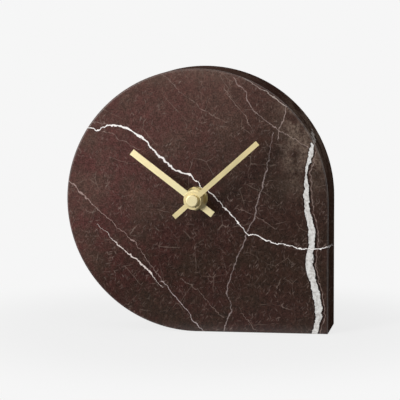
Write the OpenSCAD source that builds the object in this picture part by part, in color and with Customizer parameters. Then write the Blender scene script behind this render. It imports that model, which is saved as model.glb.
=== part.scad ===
// Desk clock: two baton hands on a marble slab, with a battery movement in a pocket at the back.
// The front faces -Y and the slab stands on Z = 0. The axis of the hands runs along Y at X = 0.
// Outlines are drawn as seen from the front, X to the right and Z up, centred on that axis.

/* [Marble slab] */
// Radius of the round face, and side of its square corner
disc_r = 70; // [62:1:80]
// Thickness of the slab
slab_t = 35; // [32:1:45]
// Stone left in front of the pocket
dial_t = 9; // [7:0.5:10]
// Eased edge round both faces
edge_ease = 0.9; // [0.3:0.1:2]
// Height of the hands' axis above the centre of the round face
bore_rise = 1.5; // [0:0.5:4]
// Diameter of the hole for the shaft
bore_d = 8.8; // [8.4:0.1:9.6]
// Diameter of the pocket for the movement
pocket_d = 86; // [84:1:96]
// Eased edge round the mouth of the pocket
pocket_ease = 1; // [0.4:0.1:2]

/* [Clamp] */
// Thread diameter of the bushing
thread_d = 8; // [7.6:0.1:8.2]
// Length of thread that stands out past the nut
thread_proud = 0.8; // [0.2:0.1:1.6]
// Diameter of the bushing's flange
flange_d = 11; // [10:0.5:13]
// Thickness of that flange
flange_t = 0.6; // [0.4:0.1:0.8]
// Diameter of the washer
washer_d = 12.2; // [11.5:0.1:14]
// Thickness of the washer
washer_t = 0.8; // [0.5:0.1:1.2]
// Width of the nut across its flats
nut_af = 11; // [10:0.5:12]
// Thickness of the nut
nut_t = 3.2; // [2:0.1:4]
// Bevel on the nut's corners
nut_ease = 0.5; // [0.2:0.1:0.8]
// Diameter of the rubber ring
gasket_d = 22; // [16:1:30]
// Thickness of the rubber ring
gasket_t = 1; // [0.5:0.1:1.5]

/* [Hands] */
// Hour hand from the axis to its tip
hour_tip = 41.3; // [30:0.1:50]
// Hour hand from the axis to its tail
hour_tail = 12.7; // [8:0.1:16]
// Width of the hour hand
hour_w = 3.4; // [2.6:0.1:4.4]
// Minute hand from the axis to its tip
minute_tip = 46; // [36:0.1:58]
// Minute hand from the axis to its tail
minute_tail = 13.2; // [8:0.1:16]
// Width of the minute hand
minute_w = 2.7; // [2:0.1:4]
// Diameter of the minute hand's hub
hub_d = 9.3; // [8:0.1:11]
// Diameter of the hour hand's hub
hour_hub_d = 10.6; // [8:0.1:12]
// Thickness of the hands
hand_t = 0.6; // [0.4:0.1:0.8]
// From the stone to the back of the hour hand
hour_standoff = 9.2; // [9:0.1:11]
// Space between the two hands
hand_gap = 3.6; // [3:0.1:5]
// Length of the hour hand's collet
collet_h = 3; // [2:0.1:3.6]
// Wall of the collet
collet_wall = 0.8; // [0.5:0.1:1]
// Height of the boss behind the minute hand
boss_h = 1.2; // [0.6:0.1:2]
// Diameter of that boss
boss_d = 5.4; // [4.6:0.1:6]
// Diameter of the cap nut
cap_d = 6.4; // [5.4:0.1:7.4]
// Height of the cap nut
cap_h = 2.2; // [2:0.1:3.4]
// Eased edge of the cap nut
cap_ease = 0.5; // [0.2:0.1:0.8]
// Hour hand's angle from twelve, clockwise
hour_angle = -52.8; // [-180:0.1:180]
// Minute hand's angle from twelve, clockwise
minute_angle = 48.3; // [-180:0.1:180]

/* [Movement case] */
// Side of the square case
case_w = 56; // [55.4:0.1:58]
// Corner radius of the case
case_corner = 3; // [2:0.5:5]
// Depth of the whole movement
case_depth = 16; // [16:0.1:17]
// Wall of the case
case_wall = 1.2; // [1:0.1:1.4]
// Depth of the front shell
shell_depth = 12; // [11:0.1:13]
// Width of the tabs that hold the cover
tab_len = 6; // [4:0.5:10]
// Thickness of the tabs
tab_t = 0.8; // [0.5:0.1:1]
// Height of the barb on each tab
barb_t = 0.9; // [0.5:0.1:1]
// Diameter of the thumb notch over the cell
thumb_d = 14; // [10:1:17]
// Depth of the round recess under the setting knob
well_depth = 0.4; // [0.2:0.1:0.6]

/* [Gear train] */
// Distance from the centre arbor to the third arbor
third_a = 8.5; // [8.4:0.05:8.7]
// Distance from the centre arbor to the intermediate arbor
mid_a = 9; // [8.9:0.05:9.2]
// Distance from the intermediate arbor to the rotor
rotor_a = 8.75; // [8.6:0.05:9]
// Distance from the centre arbor to the motion arbor, and on to the setting shaft
motion_a = 8.4; // [8.35:0.05:8.5]
// Thickness of a wheel
wheel_t = 0.8; // [0.6:0.05:0.85]
// Width of a wheel's rim below its teeth
rim_w = 0.7; // [0.5:0.05:0.9]
// Free height between one wheel and the next
wheel_gap = 0.35; // [0.3:0.05:0.4]
// Diameter of the small arbors
arbor_d = 0.8; // [0.7:0.05:0.85]
// Diameter of the stud that the motion wheel turns on
stud_d = 1.2; // [0.9:0.05:1.3]
// Diameter of the minute arbor
minute_arbor_d = 3.3; // [3:0.05:3.4]
// Diameter of the minute arbor where the hand sits
spigot_d = 2.8; // [2.4:0.05:2.9]
// Diameter of the hour pipe
pipe_d = 5.1; // [4.9:0.05:5.2]
// Diameter of the seconds arbor
seconds_arbor_d = 1; // [0.9:0.05:1.1]
// Thickness of the gear plate
plate_t = 1.2; // [1:0.05:1.3]
// Wall round a bearing hole in a post
post_wall = 0.4; // [0.3:0.05:0.45]

/* [Motor] */
// Diameter of the rotor magnet
magnet_d = 6; // [5:0.1:6.4]
// Thickness of the rotor magnet
magnet_t = 1.6; // [1.2:0.1:2]
// Air gap round the magnet
air_gap = 0.5; // [0.4:0.05:0.7]
// Width of the stator's ring
stator_ring = 2.4; // [1.8:0.1:2.6]
// Thickness of the stator and of the coil core
stator_t = 1; // [0.8:0.1:1]
// Length of the bobbin
bobbin_len = 18; // [15:0.5:18.5]
// Side of the bobbin's square flanges
flange_side = 6.6; // [6:0.1:6.8]
// Thickness of the flanges
flange_rim = 0.8; // [0.6:0.1:1]
// Height of the winding above the bobbin's tube
winding_h = 1.2; // [0.8:0.1:1.4]
// Width of the coil core
core_w = 2; // [1.6:0.1:2.2]
// Length of the core that lies on each side of the stator
core_lap = 3.4; // [2:0.1:3.8]
// Distance from the rotor to the coil
coil_rise = 13; // [12:0.1:13.4]

/* [Setting knob] */
// Diameter of the knob
knob_d = 12; // [9:0.5:13]
// Height of the knob
knob_h = 4; // [3:0.5:5]
// Depth of the dish in the knob's face
dish_depth = 0.5; // [0.2:0.1:1]
// Diameter of the knob's shaft
shaft_d = 3; // [2.6:0.1:3.2]
// Diameter of the shaft's front end
shaft_end_d = 1.6; // [1.4:0.1:1.8]

/* [Battery] */
// Diameter of the cell
cell_d = 14.2; // [13.8:0.1:14.4]
// Length of the cell with its button
cell_len = 50.2; // [49:0.1:50.6]
// Diameter of the button
button_d = 5.5; // [4.5:0.1:6]
// Height of the button
button_h = 1; // [0.8:0.1:1.4]
// Thickness of the contact strips
contact_t = 0.3; // [0.2:0.05:0.35]
// Width of the contact strips' tails
tail_w = 2; // [1.4:0.1:2.2]

/* [Circuit] */
// Length of the circuit board
board_len = 32; // [26:0.5:33]
// Width of the circuit board
board_w = 8.4; // [6.5:0.1:8.6]
// Thickness of the circuit board
board_t = 1; // [0.8:0.1:1.1]
// Diameter of the crystal's can
crystal_d = 2.1; // [1.8:0.1:2.6]
// Length of the crystal's can
crystal_len = 6.2; // [5:0.1:8]
// Diameter of the resin drop
chip_d = 5.4; // [4:0.1:6]
// Height of the resin drop
chip_h = 1.1; // [0.7:0.1:1.4]

/* [Hidden] */

$fn = 96;

// Clearances
overrun = 0.5;
running_gap = 0.06;
press_gap = 0.02;
loose_gap = 0.1;
bay_gap = 0.1;
core_room = 0.6;
pocket_room = 1;

// Tooth counts of the wheels and pinions
minute_teeth = 60;
third_pinion_teeth = 8;
third_teeth = 64;
seconds_pinion_teeth = 8;
seconds_teeth = 60;
mid_pinion_teeth = 12;
mid_teeth = 60;
rotor_teeth = 10;
cannon_teeth = 12;
motion_teeth = 36;
motion_pinion_teeth = 10;
hour_teeth = 40;
setting_teeth = 12;

// Directions from arbor to arbor, counted from +X
third_dir = 60;
mid_dir = 180;
rotor_dir = 120;
motion_dir = 0;

// Tooth forms. Each row is the side of the tooth, its height as a share of the module, and its half width
// there as a share of the module. The flanks run straight to the arbor below the pitch circle.
wheel_tooth_shares = [
    [-1, -1.25, 0.6], [-1, 0, 0.62], [-1, 0.95, 0.28],
    [1, 0.95, 0.28], [1, 0, 0.62], [1, -1.25, 0.6]
];
leaf_shares = [
    [-1, -1.3, 0.42], [-1, 0, 0.6], [-1, 0.65, 0.32],
    [1, 0.65, 0.32], [1, 0, 0.6], [1, -1.3, 0.42]
];

// Thickness of a wheel's web as a share of its rim, and diameter of the knob's dish as a share of the knob
web_share = 0.6;
dish_share = 0.66;

// Planes along Y
hour_front = hour_standoff + hand_t;
minute_back = hour_front + hand_gap;
minute_front = minute_back + hand_t;
stack_h = minute_front + cap_h;
face_y = (stack_h - slab_t) / 2;
back_y = face_y + slab_t;
floor_y = face_y + dial_t;
movement_y = floor_y + gasket_t;
axis_z = disc_r + bore_rise;

// Heights in front of the stone
nut_front = washer_t + nut_t;
thread_front = nut_front + thread_proud;
spigot_front = minute_front + cap_h / 2;

// Depths behind the front plane of the movement
hour_d = case_wall + wheel_gap;
motion_d = hour_d + wheel_t + wheel_gap;
minute_d = motion_d + wheel_t + wheel_gap;
third_d = minute_d + wheel_t + wheel_gap;
seconds_d = third_d + wheel_t + wheel_gap;
mid_d = seconds_d + wheel_t + wheel_gap;
plate_d = mid_d + wheel_t + wheel_gap;
plate_back = plate_d + plate_t;
stator_back = plate_back + stator_t;
cover_d = case_depth - case_wall;
pivot_len = case_wall * 3 / 4;

// Arbor places, from the axis of the hands
function polar(r, a) = [r * cos(a), r * sin(a)];
centre_at = [0, 0];
third_at = polar(third_a, third_dir);
mid_at = polar(mid_a, mid_dir);
rotor_at = mid_at + polar(rotor_a, rotor_dir);
motion_at = polar(motion_a, motion_dir);
setting_at = motion_at + polar(motion_a, motion_dir);

// Modules of the gear pairs, from their distances and tooth counts
function pair_module(a, n, other) = 2 * a / (n + other);
minute_m = pair_module(third_a, minute_teeth, third_pinion_teeth);
third_m = pair_module(third_a, third_teeth, seconds_pinion_teeth);
seconds_m = pair_module(mid_a, seconds_teeth, mid_pinion_teeth);
mid_m = pair_module(rotor_a, mid_teeth, rotor_teeth);
cannon_m = pair_module(motion_a, cannon_teeth, motion_teeth);
hour_m = pair_module(motion_a, motion_pinion_teeth, hour_teeth);

// Half a turn, in degrees
half_turn = 180;

// Phase that puts a gear of n teeth in mesh with one of other_n teeth and phase p that lies at dir from it
function mesh_phase(dir, other_n, n, p) = dir + half_turn + half_turn / n - (p - dir) * other_n / n;
third_pinion_phase = mesh_phase(third_dir, minute_teeth, third_pinion_teeth, 0);
seconds_pinion_phase = mesh_phase(third_dir + half_turn, third_teeth, seconds_pinion_teeth, 0);
mid_pinion_phase = mesh_phase(mid_dir, seconds_teeth, mid_pinion_teeth, 0);
rotor_phase = mesh_phase(rotor_dir, mid_teeth, rotor_teeth, 0);
motion_phase = mesh_phase(motion_dir, cannon_teeth, motion_teeth, 0);
hour_phase = mesh_phase(motion_dir + half_turn, motion_pinion_teeth, hour_teeth, 0);
setting_phase = mesh_phase(motion_dir, motion_teeth, setting_teeth, motion_phase);

// Hub and bearing sizes
bearing_d = arbor_d + 2 * running_gap;
post_d = bearing_d + 2 * post_wall;
small_hub_d = arbor_d + 2 * rim_w;
stud_bore_d = stud_d + 2 * running_gap;
seconds_bore_d = seconds_arbor_d + 2 * running_gap;
seconds_reach = 6 * seconds_arbor_d;
pipe_bore_d = minute_arbor_d + 2 * running_gap;
bush_bore_d = pipe_d + 2 * running_gap;
shaft_hole_d = shaft_d + 2 * running_gap;
magnet_hub_d = magnet_d * 0.3;
nut_corner_r = nut_af / 2 / cos(30);

// Front ends of the arbors, and the posts that carry them, behind the movement's front plane
third_front = minute_d - wheel_gap / 2;
seconds_front = third_d - wheel_gap / 2;
mid_front = seconds_d - wheel_gap / 2;
rotor_front = mid_d - wheel_gap / 2;
third_post_d = third_front - running_gap;
mid_post_d = mid_front - wheel_t - wheel_gap;
rotor_post_d = rotor_front - wheel_gap;

// Inside of the case
inner_w = case_w - 2 * case_wall;
inner_half = inner_w / 2;
bay_top = cell_d + 2 * bay_gap - inner_half;
bay_wall_top = bay_top + case_wall;
cell_x = inner_half - contact_t;
cell_z = cell_d / 2 + bay_gap - inner_half;
cell_depth = case_wall + bay_gap + cell_d / 2;
plate_bottom = bay_wall_top + loose_gap;
plate_top = inner_half - loose_gap;
plate_half = inner_half - contact_t - 2 * loose_gap;
peg_d = 2 * arbor_d;
corner_post_d = 2 * peg_d;
peg_x = plate_half - corner_post_d / 2;
peg_top_z = plate_top - corner_post_d / 2;
peg_low_z = plate_bottom + corner_post_d / 2;

// Tabs of the rear cover, and the cup of its thumb notch
tab_x = inner_half / 2;
tab_z = inner_half / 3;
tab_front = plate_back + loose_gap;
barb_len = (shell_depth - tab_front) / 2;
notch_front = plate_back + board_t + crystal_d + 2 * loose_gap;

// Coil and stator
core_len = bobbin_len + 2 * core_lap;
coil_x = max(rotor_at.x, core_len / 2 + core_room - inner_half);
coil_z = rotor_at.y + coil_rise;
coil_depth = stator_back + stator_t / 2;
pad_w = max(2 * core_w, flange_side / 2 + loose_gap);
stator_hole_d = magnet_d + 2 * air_gap;
stator_ring_d = stator_hole_d + 2 * stator_ring;
winding_d = flange_side - flange_rim;
tube_d = winding_d - 2 * winding_h;

// Circuit
board_x0 = corner_post_d / 2 + loose_gap - peg_x;
board_z0 = plate_bottom;
board_back = plate_back + board_t;
tail_z = board_z0 + tail_w / 2;

// Places a solid that is extruded backwards from depth d behind the movement's front plane
module layer(d, t, at = centre_at) {
    translate([at.x, movement_y + d + t, axis_z + at.y])
        rotate([90, 0, 0])
            linear_extrude(t)
                children();
}

// Places a solid that is extruded forwards from height s in front of the stone
module proud(s, t) {
    translate([0, face_y - s, axis_z])
        rotate([90, 0, 0])
            linear_extrude(t)
                children();
}

// Round bar between two depths behind the movement's front plane
module bar(from, to, d, at = centre_at) {
    translate([at.x, movement_y + to, axis_z + at.y])
        rotate([90, 0, 0])
            cylinder(d = d, h = to - from);
}

// Rectangle with round corners, centred
module round_square(w, h, r) {
    square([w - 2 * r, h], center = true);
    square([w, h - 2 * r], center = true);
    for (x = [-1, 1], z = [-1, 1])
        translate([x * (w / 2 - r), z * (h / 2 - r)])
            circle(r);
}

// Outline of a gear: n teeth of module m, turned by a phase, from a table of tooth shares
module gear(n, m, phase, shares, bore) {
    pitch_r = n * m / 2;
    difference() {
        polygon([
            for (i = [0 : n - 1], p = shares)
                let (r = pitch_r + p[1] * m, half = p[2] * m / r * half_turn / PI)
                    polar(r, phase + i * 360 / n + p[0] * half)
        ]);
        if (bore > 0)
            circle(d = bore);
    }
}

// Moulded wheel at depth d: a toothed rim, a thinner web that is open to the back, and a hub
module wheel(d, n, m, phase, boss, bore, at = centre_at) {
    root_r = n * m / 2 + wheel_tooth_shares[0][1] * m;
    difference() {
        layer(d, wheel_t, at)
            gear(n, m, phase, wheel_tooth_shares, bore);
        layer(d + wheel_t * web_share, wheel_t, at)
            difference() {
                circle(root_r - rim_w);
                circle(d = boss);
            }
    }
}

module marble_body() {
    color([0.23, 0.17, 0.15])
        difference() {
            union() {
                translate([0, face_y, disc_r])
                    rotate([-90, 0, 0])
                        rotate_extrude()
                            slab_section(disc_r);
                corner_block();
            }
            translate([0, back_y + overrun, axis_z])
                rotate([90, 0, 0])
                    cylinder(d = pocket_d, h = slab_t - dial_t + overrun);
            translate([0, back_y + overrun, axis_z])
                rotate([90, 0, 0])
                    cylinder(
                        d1 = pocket_d + 2 * pocket_ease + 2 * overrun,
                        d2 = pocket_d,
                        h = pocket_ease + overrun
                    );
            layer(-gasket_t, slab_t - dial_t + overrun)
                round_square(case_w + 2 * pocket_room, case_w + 2 * pocket_room, case_corner + pocket_room);
            translate([0, floor_y + overrun, axis_z])
                rotate([90, 0, 0])
                    cylinder(d = bore_d, h = dial_t + 2 * overrun);
        }
}

// Half section of the slab from its middle out to r, with both edges rounded
module slab_section(r) {
    square([r - edge_ease, slab_t]);
    translate([0, edge_ease])
        square([r, slab_t - 2 * edge_ease]);
    for (y = [edge_ease, slab_t - edge_ease])
        translate([r - edge_ease, y])
            circle(edge_ease);
}

// Square corner of the slab: the sections across and along it, crossed
module corner_block() {
    intersection() {
        translate([0, face_y, 0])
            linear_extrude(disc_r)
                slab_section(disc_r);
        translate([0, face_y, disc_r])
            rotate([0, 90, 0])
                linear_extrude(disc_r)
                    slab_section(disc_r);
    }
}

module brass_washer() {
    color([0.85, 0.77, 0.52])
        proud(0, washer_t)
            difference() {
                circle(d = washer_d);
                circle(d = thread_d + 2 * loose_gap);
            }
}

module clamp_nut() {
    color([0.82, 0.74, 0.48])
        difference() {
            intersection() {
                proud(washer_t, nut_t)
                    rotate(30)
                        circle(nut_corner_r, $fn = 6);
                translate([0, face_y - washer_t, axis_z])
                    rotate([90, 0, 0])
                        rotate_extrude()
                            polygon([
                                [0, 0],
                                [nut_corner_r + 2 * nut_ease, 0],
                                [nut_corner_r + 2 * nut_ease, nut_t - 2 * nut_ease],
                                [nut_corner_r - 2 * nut_ease, nut_t],
                                [0, nut_t]
                            ]);
            }
            proud(washer_t - overrun, nut_t + 2 * overrun)
                circle(d = thread_d + 2 * press_gap);
        }
}

module threaded_bushing() {
    color([0.8, 0.7, 0.42])
        difference() {
            union() {
                translate([0, movement_y + case_wall, axis_z])
                    rotate([90, 0, 0])
                        cylinder(d = thread_d, h = case_wall + gasket_t + dial_t + thread_front);
                layer(0, flange_t)
                    circle(d = flange_d);
            }
            translate([0, movement_y + case_wall + overrun, axis_z])
                rotate([90, 0, 0])
                    cylinder(d = bush_bore_d, h = case_wall + gasket_t + dial_t + thread_front + 2 * overrun);
        }
}

module rubber_gasket() {
    color([0.12, 0.12, 0.12])
        layer(-gasket_t, gasket_t)
            difference() {
                circle(d = gasket_d);
                circle(d = thread_d + 2 * loose_gap);
            }
}

// Outline of a hand that points up: bar and round hub
module hand_outline(tip, tail, w, hub, bore) {
    difference() {
        union() {
            translate([-w / 2, -tail])
                square([w, tip + tail]);
            circle(d = hub);
        }
        circle(d = bore);
    }
}

module hour_hand() {
    bore = pipe_d + 2 * press_gap;
    color([0.94, 0.88, 0.63])
        union() {
            proud(hour_standoff, hand_t)
                rotate(-hour_angle)
                    hand_outline(hour_tip, hour_tail, hour_w, hour_hub_d, bore);
            proud(hour_standoff - collet_h, collet_h + hand_t / 2)
                difference() {
                    circle(d = bore + 2 * collet_wall);
                    circle(d = bore);
                }
        }
}

module minute_hand() {
    bore = spigot_d + 2 * press_gap;
    color([0.88, 0.8, 0.56])
        union() {
            proud(minute_back, hand_t)
                rotate(-minute_angle)
                    hand_outline(minute_tip, minute_tail, minute_w, hub_d, bore);
            proud(minute_back - boss_h, boss_h + hand_t / 2)
                difference() {
                    circle(d = boss_d);
                    circle(d = bore);
                }
        }
}

module cap_nut() {
    color([0.89, 0.81, 0.58])
        difference() {
            translate([0, face_y - minute_front, axis_z])
                rotate([90, 0, 0])
                    rotate_extrude()
                        polygon([
                            [0, 0],
                            [cap_d / 2, 0],
                            [cap_d / 2, cap_h - cap_ease],
                            [cap_d / 2 - cap_ease, cap_h],
                            [0, cap_h]
                        ]);
            proud(minute_front - overrun, spigot_front - minute_front + press_gap + overrun)
                circle(d = spigot_d + 2 * press_gap);
        }
}

// Post from the front wall back to depth d, with a blind bearing hole in its end
module bearing_post(d, w, at) {
    difference() {
        bar(case_wall / 2, d, w, at);
        bar(d - pivot_len, d + overrun, bearing_d, at);
    }
}

// Outlines of the cover's four tabs: each w wide and t thick, its outer face at reach from the middle
module tabs(reach, t, w) {
    for (x = [-1, 1]) {
        translate([x * tab_x, reach - t / 2])
            square([w, t], center = true);
        translate([x * (reach - t / 2), tab_z])
            square([t, w], center = true);
    }
}

// Rib across the battery bay that the cell lies in
module cell_saddle(x) {
    foot_z = -inner_half - case_wall / 2;
    translate([x, movement_y, axis_z])
        rotate([90, 0, 90])
            linear_extrude(case_wall, center = true)
                difference() {
                    translate([case_wall / 2, foot_z])
                        square([case_wall / 2 + cell_d / 4, bay_top - loose_gap - foot_z]);
                    translate([cell_depth, cell_z])
                        circle((cell_d + bay_gap) / 2);
                }
}

// Half disc that stands on the edge of the battery bay
module thumb_outline(d) {
    intersection() {
        translate([0, bay_top])
            circle(d = d);
        translate([-d / 2, bay_top])
            square([d, d / 2]);
    }
}

module front_case() {
    color([0.1, 0.1, 0.11])
        difference() {
            union() {
                difference() {
                    layer(0, shell_depth)
                        round_square(case_w, case_w, case_corner);
                    layer(case_wall, shell_depth)
                        round_square(inner_w, inner_w, case_corner - case_wall);
                }
                bearing_post(third_post_d, post_d, third_at);
                bearing_post(mid_post_d, post_d, mid_at);
                bearing_post(rotor_post_d, 2 * post_d, rotor_at);
                bar(case_wall / 2, motion_d + wheel_t, stud_d, motion_at);
                for (side = [-1, 1])
                    cell_saddle(side * inner_w / 4);
                for (x = [-1, 1], z = [peg_low_z, peg_top_z]) {
                    bar(case_wall / 2, plate_d, corner_post_d, [x * peg_x, z]);
                    bar(case_wall / 2, plate_back + plate_t / 3, peg_d, [x * peg_x, z]);
                }
            }
            bar(-overrun, flange_t, flange_d + 2 * loose_gap);
            bar(0, case_wall + overrun, thread_d + 2 * press_gap);
            layer(tab_front - loose_gap, barb_len + 2 * loose_gap)
                tabs(inner_half + case_wall + overrun, case_wall + 2 * overrun, tab_len + 2 * loose_gap);
            bar(case_wall - pivot_len, case_wall + overrun, shaft_end_d + 2 * running_gap, setting_at);
        }
}

module gear_plate() {
    color([0.86, 0.86, 0.82])
        layer(plate_d, plate_t)
            difference() {
                translate([0, (plate_top + plate_bottom) / 2])
                    round_square(2 * plate_half, plate_top - plate_bottom, case_corner - case_wall);
                for (at = [centre_at, third_at, mid_at])
                    translate(at)
                        circle(d = bearing_d);
                translate(rotor_at)
                    circle(d = magnet_d / 2 + 4 * air_gap);
                translate(setting_at)
                    circle(d = shaft_hole_d);
                for (x = [-1, 1], z = [peg_low_z, peg_top_z])
                    translate([x * peg_x, z])
                        circle(d = peg_d + 2 * press_gap);
                translate([coil_x, coil_z])
                    square([bobbin_len + 2 * loose_gap, flange_side + 2 * loose_gap], center = true);
            }
}

module rear_cover() {
    color([0.12, 0.12, 0.13])
        difference() {
            union() {
                difference() {
                    layer(shell_depth, case_depth - shell_depth)
                        round_square(case_w, case_w, case_corner);
                    layer(shell_depth - case_wall, cover_d - shell_depth + case_wall)
                        round_square(inner_w, inner_w, case_corner - case_wall);
                }
                layer(case_wall + loose_gap, cover_d - case_wall)
                    translate([-plate_half, bay_top])
                        square([2 * plate_half, case_wall]);
                bar(stator_back + magnet_t + wheel_gap, case_depth - case_wall / 2, 2 * post_d, rotor_at);
                layer(tab_front, cover_d - tab_front + tab_t)
                    tabs(inner_half - loose_gap, tab_t, tab_len);
                layer(shell_depth, cover_d - shell_depth + tab_t)
                    tabs(inner_half + case_wall / 2, case_wall / 2 + loose_gap + tab_t, tab_len);
                layer(tab_front, barb_len)
                    tabs(inner_half + barb_t, barb_t + loose_gap + tab_t / 2, tab_len);
                layer(notch_front, case_depth - case_wall / 2 - notch_front)
                    thumb_outline(thumb_d + 2 * case_wall);
            }
            layer(cover_d - overrun, case_wall + 2 * overrun)
                translate([-inner_half, -inner_half])
                    square([inner_w, bay_top + inner_half]);
            layer(notch_front + case_wall, case_depth)
                union() {
                    thumb_outline(thumb_d);
                    translate([-thumb_d / 2, bay_top - overrun])
                        square([thumb_d, 2 * overrun]);
                }
            bar(stator_back + magnet_t, cover_d - running_gap, bearing_d, rotor_at);
            bar(cover_d - overrun, case_depth + overrun, shaft_hole_d, setting_at);
            bar(case_depth - well_depth, case_depth + overrun, knob_d + 2 * overrun, setting_at);
        }
}

module hour_wheel() {
    color([0.93, 0.93, 0.9])
        union() {
            wheel(hour_d, hour_teeth, hour_m, hour_phase, pipe_d + 2 * rim_w, pipe_bore_d);
            translate([0, movement_y + hour_d, axis_z])
                rotate([90, 0, 0])
                    linear_extrude(hour_d + gasket_t + dial_t + hour_front)
                        difference() {
                            circle(d = pipe_d);
                            circle(d = pipe_bore_d);
                        }
        }
}

module motion_wheel() {
    color([0.93, 0.93, 0.9])
        union() {
            wheel(motion_d, motion_teeth, cannon_m, motion_phase, stud_d + 2 * rim_w, stud_bore_d, motion_at);
            layer(hour_d, motion_d - hour_d + wheel_t / 2, motion_at)
                gear(motion_pinion_teeth, hour_m, 0, leaf_shares, stud_bore_d);
        }
}

module minute_wheel() {
    wheel_back = minute_d + wheel_t;
    color([0.9, 0.86, 0.7])
        difference() {
            union() {
                wheel(minute_d, minute_teeth, minute_m, 0, minute_arbor_d + 2 * rim_w, 0);
                layer(motion_d, minute_d - motion_d + wheel_t / 2)
                    gear(cannon_teeth, cannon_m, 0, leaf_shares, 0);
                translate([0, movement_y + motion_d, axis_z])
                    rotate([90, 0, 0])
                        cylinder(d = minute_arbor_d, h = motion_d + gasket_t + dial_t + minute_back - boss_h);
                proud(minute_back - 2 * boss_h, spigot_front - minute_back + 2 * boss_h)
                    circle(d = spigot_d);
            }
            bar(wheel_back - seconds_reach - running_gap, wheel_back + overrun, seconds_bore_d);
        }
}

module third_wheel() {
    color([0.93, 0.93, 0.9])
        union() {
            wheel(third_d, third_teeth, third_m, 0, small_hub_d, 0, third_at);
            layer(third_front, third_d - third_front + wheel_t / 2, third_at)
                gear(third_pinion_teeth, minute_m, third_pinion_phase, leaf_shares, 0);
            bar(third_post_d - pivot_len + running_gap, plate_back, arbor_d, third_at);
        }
}

module seconds_wheel() {
    color([0.93, 0.93, 0.9])
        union() {
            wheel(seconds_d, seconds_teeth, seconds_m, 0, small_hub_d, 0);
            layer(seconds_front, seconds_d - seconds_front + wheel_t / 2)
                gear(seconds_pinion_teeth, third_m, seconds_pinion_phase, leaf_shares, 0);
            bar(minute_d + wheel_t - seconds_reach, seconds_d + wheel_t / 2, seconds_arbor_d);
            bar(seconds_d, plate_back, arbor_d);
        }
}

module intermediate_wheel() {
    color([0.93, 0.93, 0.9])
        union() {
            wheel(mid_d, mid_teeth, mid_m, 0, small_hub_d, 0, mid_at);
            layer(mid_front, mid_d - mid_front + wheel_t / 2, mid_at)
                gear(mid_pinion_teeth, seconds_m, mid_pinion_phase, leaf_shares, 0);
            bar(mid_post_d - pivot_len + running_gap, plate_back, arbor_d, mid_at);
        }
}

module rotor_pinion() {
    color([0.2, 0.2, 0.22])
        union() {
            layer(rotor_front, plate_d - rotor_front, rotor_at)
                gear(rotor_teeth, mid_m, rotor_phase, leaf_shares, 0);
            bar(rotor_post_d - pivot_len + running_gap, cover_d - 2 * running_gap, arbor_d, rotor_at);
            bar(plate_d, plate_back + magnet_t + air_gap, magnet_hub_d, rotor_at);
        }
}

module rotor_magnet() {
    color([0.35, 0.35, 0.37])
        layer(plate_back + air_gap, magnet_t, rotor_at)
            difference() {
                circle(d = magnet_d);
                circle(d = magnet_hub_d + 2 * press_gap);
            }
}

// One leg of the stator, from its ring up to the pad under the core's end
function stator_leg(side, root_r, root_a) = [
    rotor_at + [side * root_r, 0],
    [coil_x + side * core_len / 2, coil_z - pad_w],
    [coil_x + side * core_len / 2, coil_z + pad_w / 2],
    [coil_x + side * bobbin_len / 2, coil_z + pad_w / 2],
    [coil_x + side * bobbin_len / 2, coil_z - pad_w],
    rotor_at + [side * root_r * cos(root_a), root_r * sin(root_a)]
];

module stator() {
    root_r = (stator_hole_d + stator_ring_d) / 4;
    root_a = 75;
    right = stator_leg(1, root_r, root_a);
    left = stator_leg(-1, root_r, root_a);
    color([0.6, 0.6, 0.62])
        layer(plate_back, stator_t)
            difference() {
                union() {
                    translate(rotor_at)
                        circle(d = stator_ring_d);
                    polygon(concat(right, [for (i = [len(left) - 1 : -1 : 0]) left[i]]));
                }
                translate(rotor_at)
                    circle(d = stator_hole_d);
                for (turn = [110, 290])
                    translate(rotor_at + polar(stator_hole_d / 2, turn))
                        circle(air_gap);
            }
}

module coil_core() {
    color([0.6, 0.6, 0.62])
        layer(stator_back, stator_t, [coil_x, coil_z])
            square([core_len, core_w], center = true);
}

module coil_bobbin() {
    color([0.9, 0.88, 0.8])
        translate([coil_x, movement_y + coil_depth, axis_z + coil_z])
            difference() {
                union() {
                    for (side = [-1, 1])
                        translate([side * (bobbin_len - flange_rim) / 2, 0, 0])
                            cube([flange_rim, flange_side, flange_side], center = true);
                    rotate([0, 90, 0])
                        cylinder(d = tube_d, h = bobbin_len - flange_rim, center = true);
                }
                cube([bobbin_len + overrun, stator_t + 2 * press_gap, core_w + 2 * press_gap], center = true);
            }
}

module coil_winding() {
    color([0.72, 0.35, 0.15])
        translate([coil_x, movement_y + coil_depth, axis_z + coil_z])
            rotate([0, 90, 0])
                difference() {
                    cylinder(d = winding_d, h = bobbin_len - 2 * flange_rim, center = true);
                    cylinder(d = tube_d, h = bobbin_len, center = true);
                }
}

module circuit_board() {
    color([0.1, 0.35, 0.18])
        layer(plate_back, board_t)
            translate([board_x0, board_z0])
                square([board_len, board_w]);
}

module quartz_crystal() {
    lead_d = crystal_d / 6;
    at = [board_x0 + board_len / 2, board_z0 + board_w * 0.7];
    color([0.8, 0.8, 0.8])
        translate([at.x, movement_y + board_back + crystal_d / 2, axis_z + at.y]) {
            rotate([0, 90, 0])
                cylinder(d = crystal_d, h = crystal_len);
            for (side = [-1, 1])
                translate([-crystal_d / 2, 0, side * crystal_d / 4]) {
                    rotate([0, 90, 0])
                        cylinder(d = lead_d, h = crystal_d);
                    translate([lead_d / 2, 0, 0])
                        rotate([90, 0, 0])
                            cylinder(d = lead_d, h = crystal_d / 2);
                }
        }
}

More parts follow.
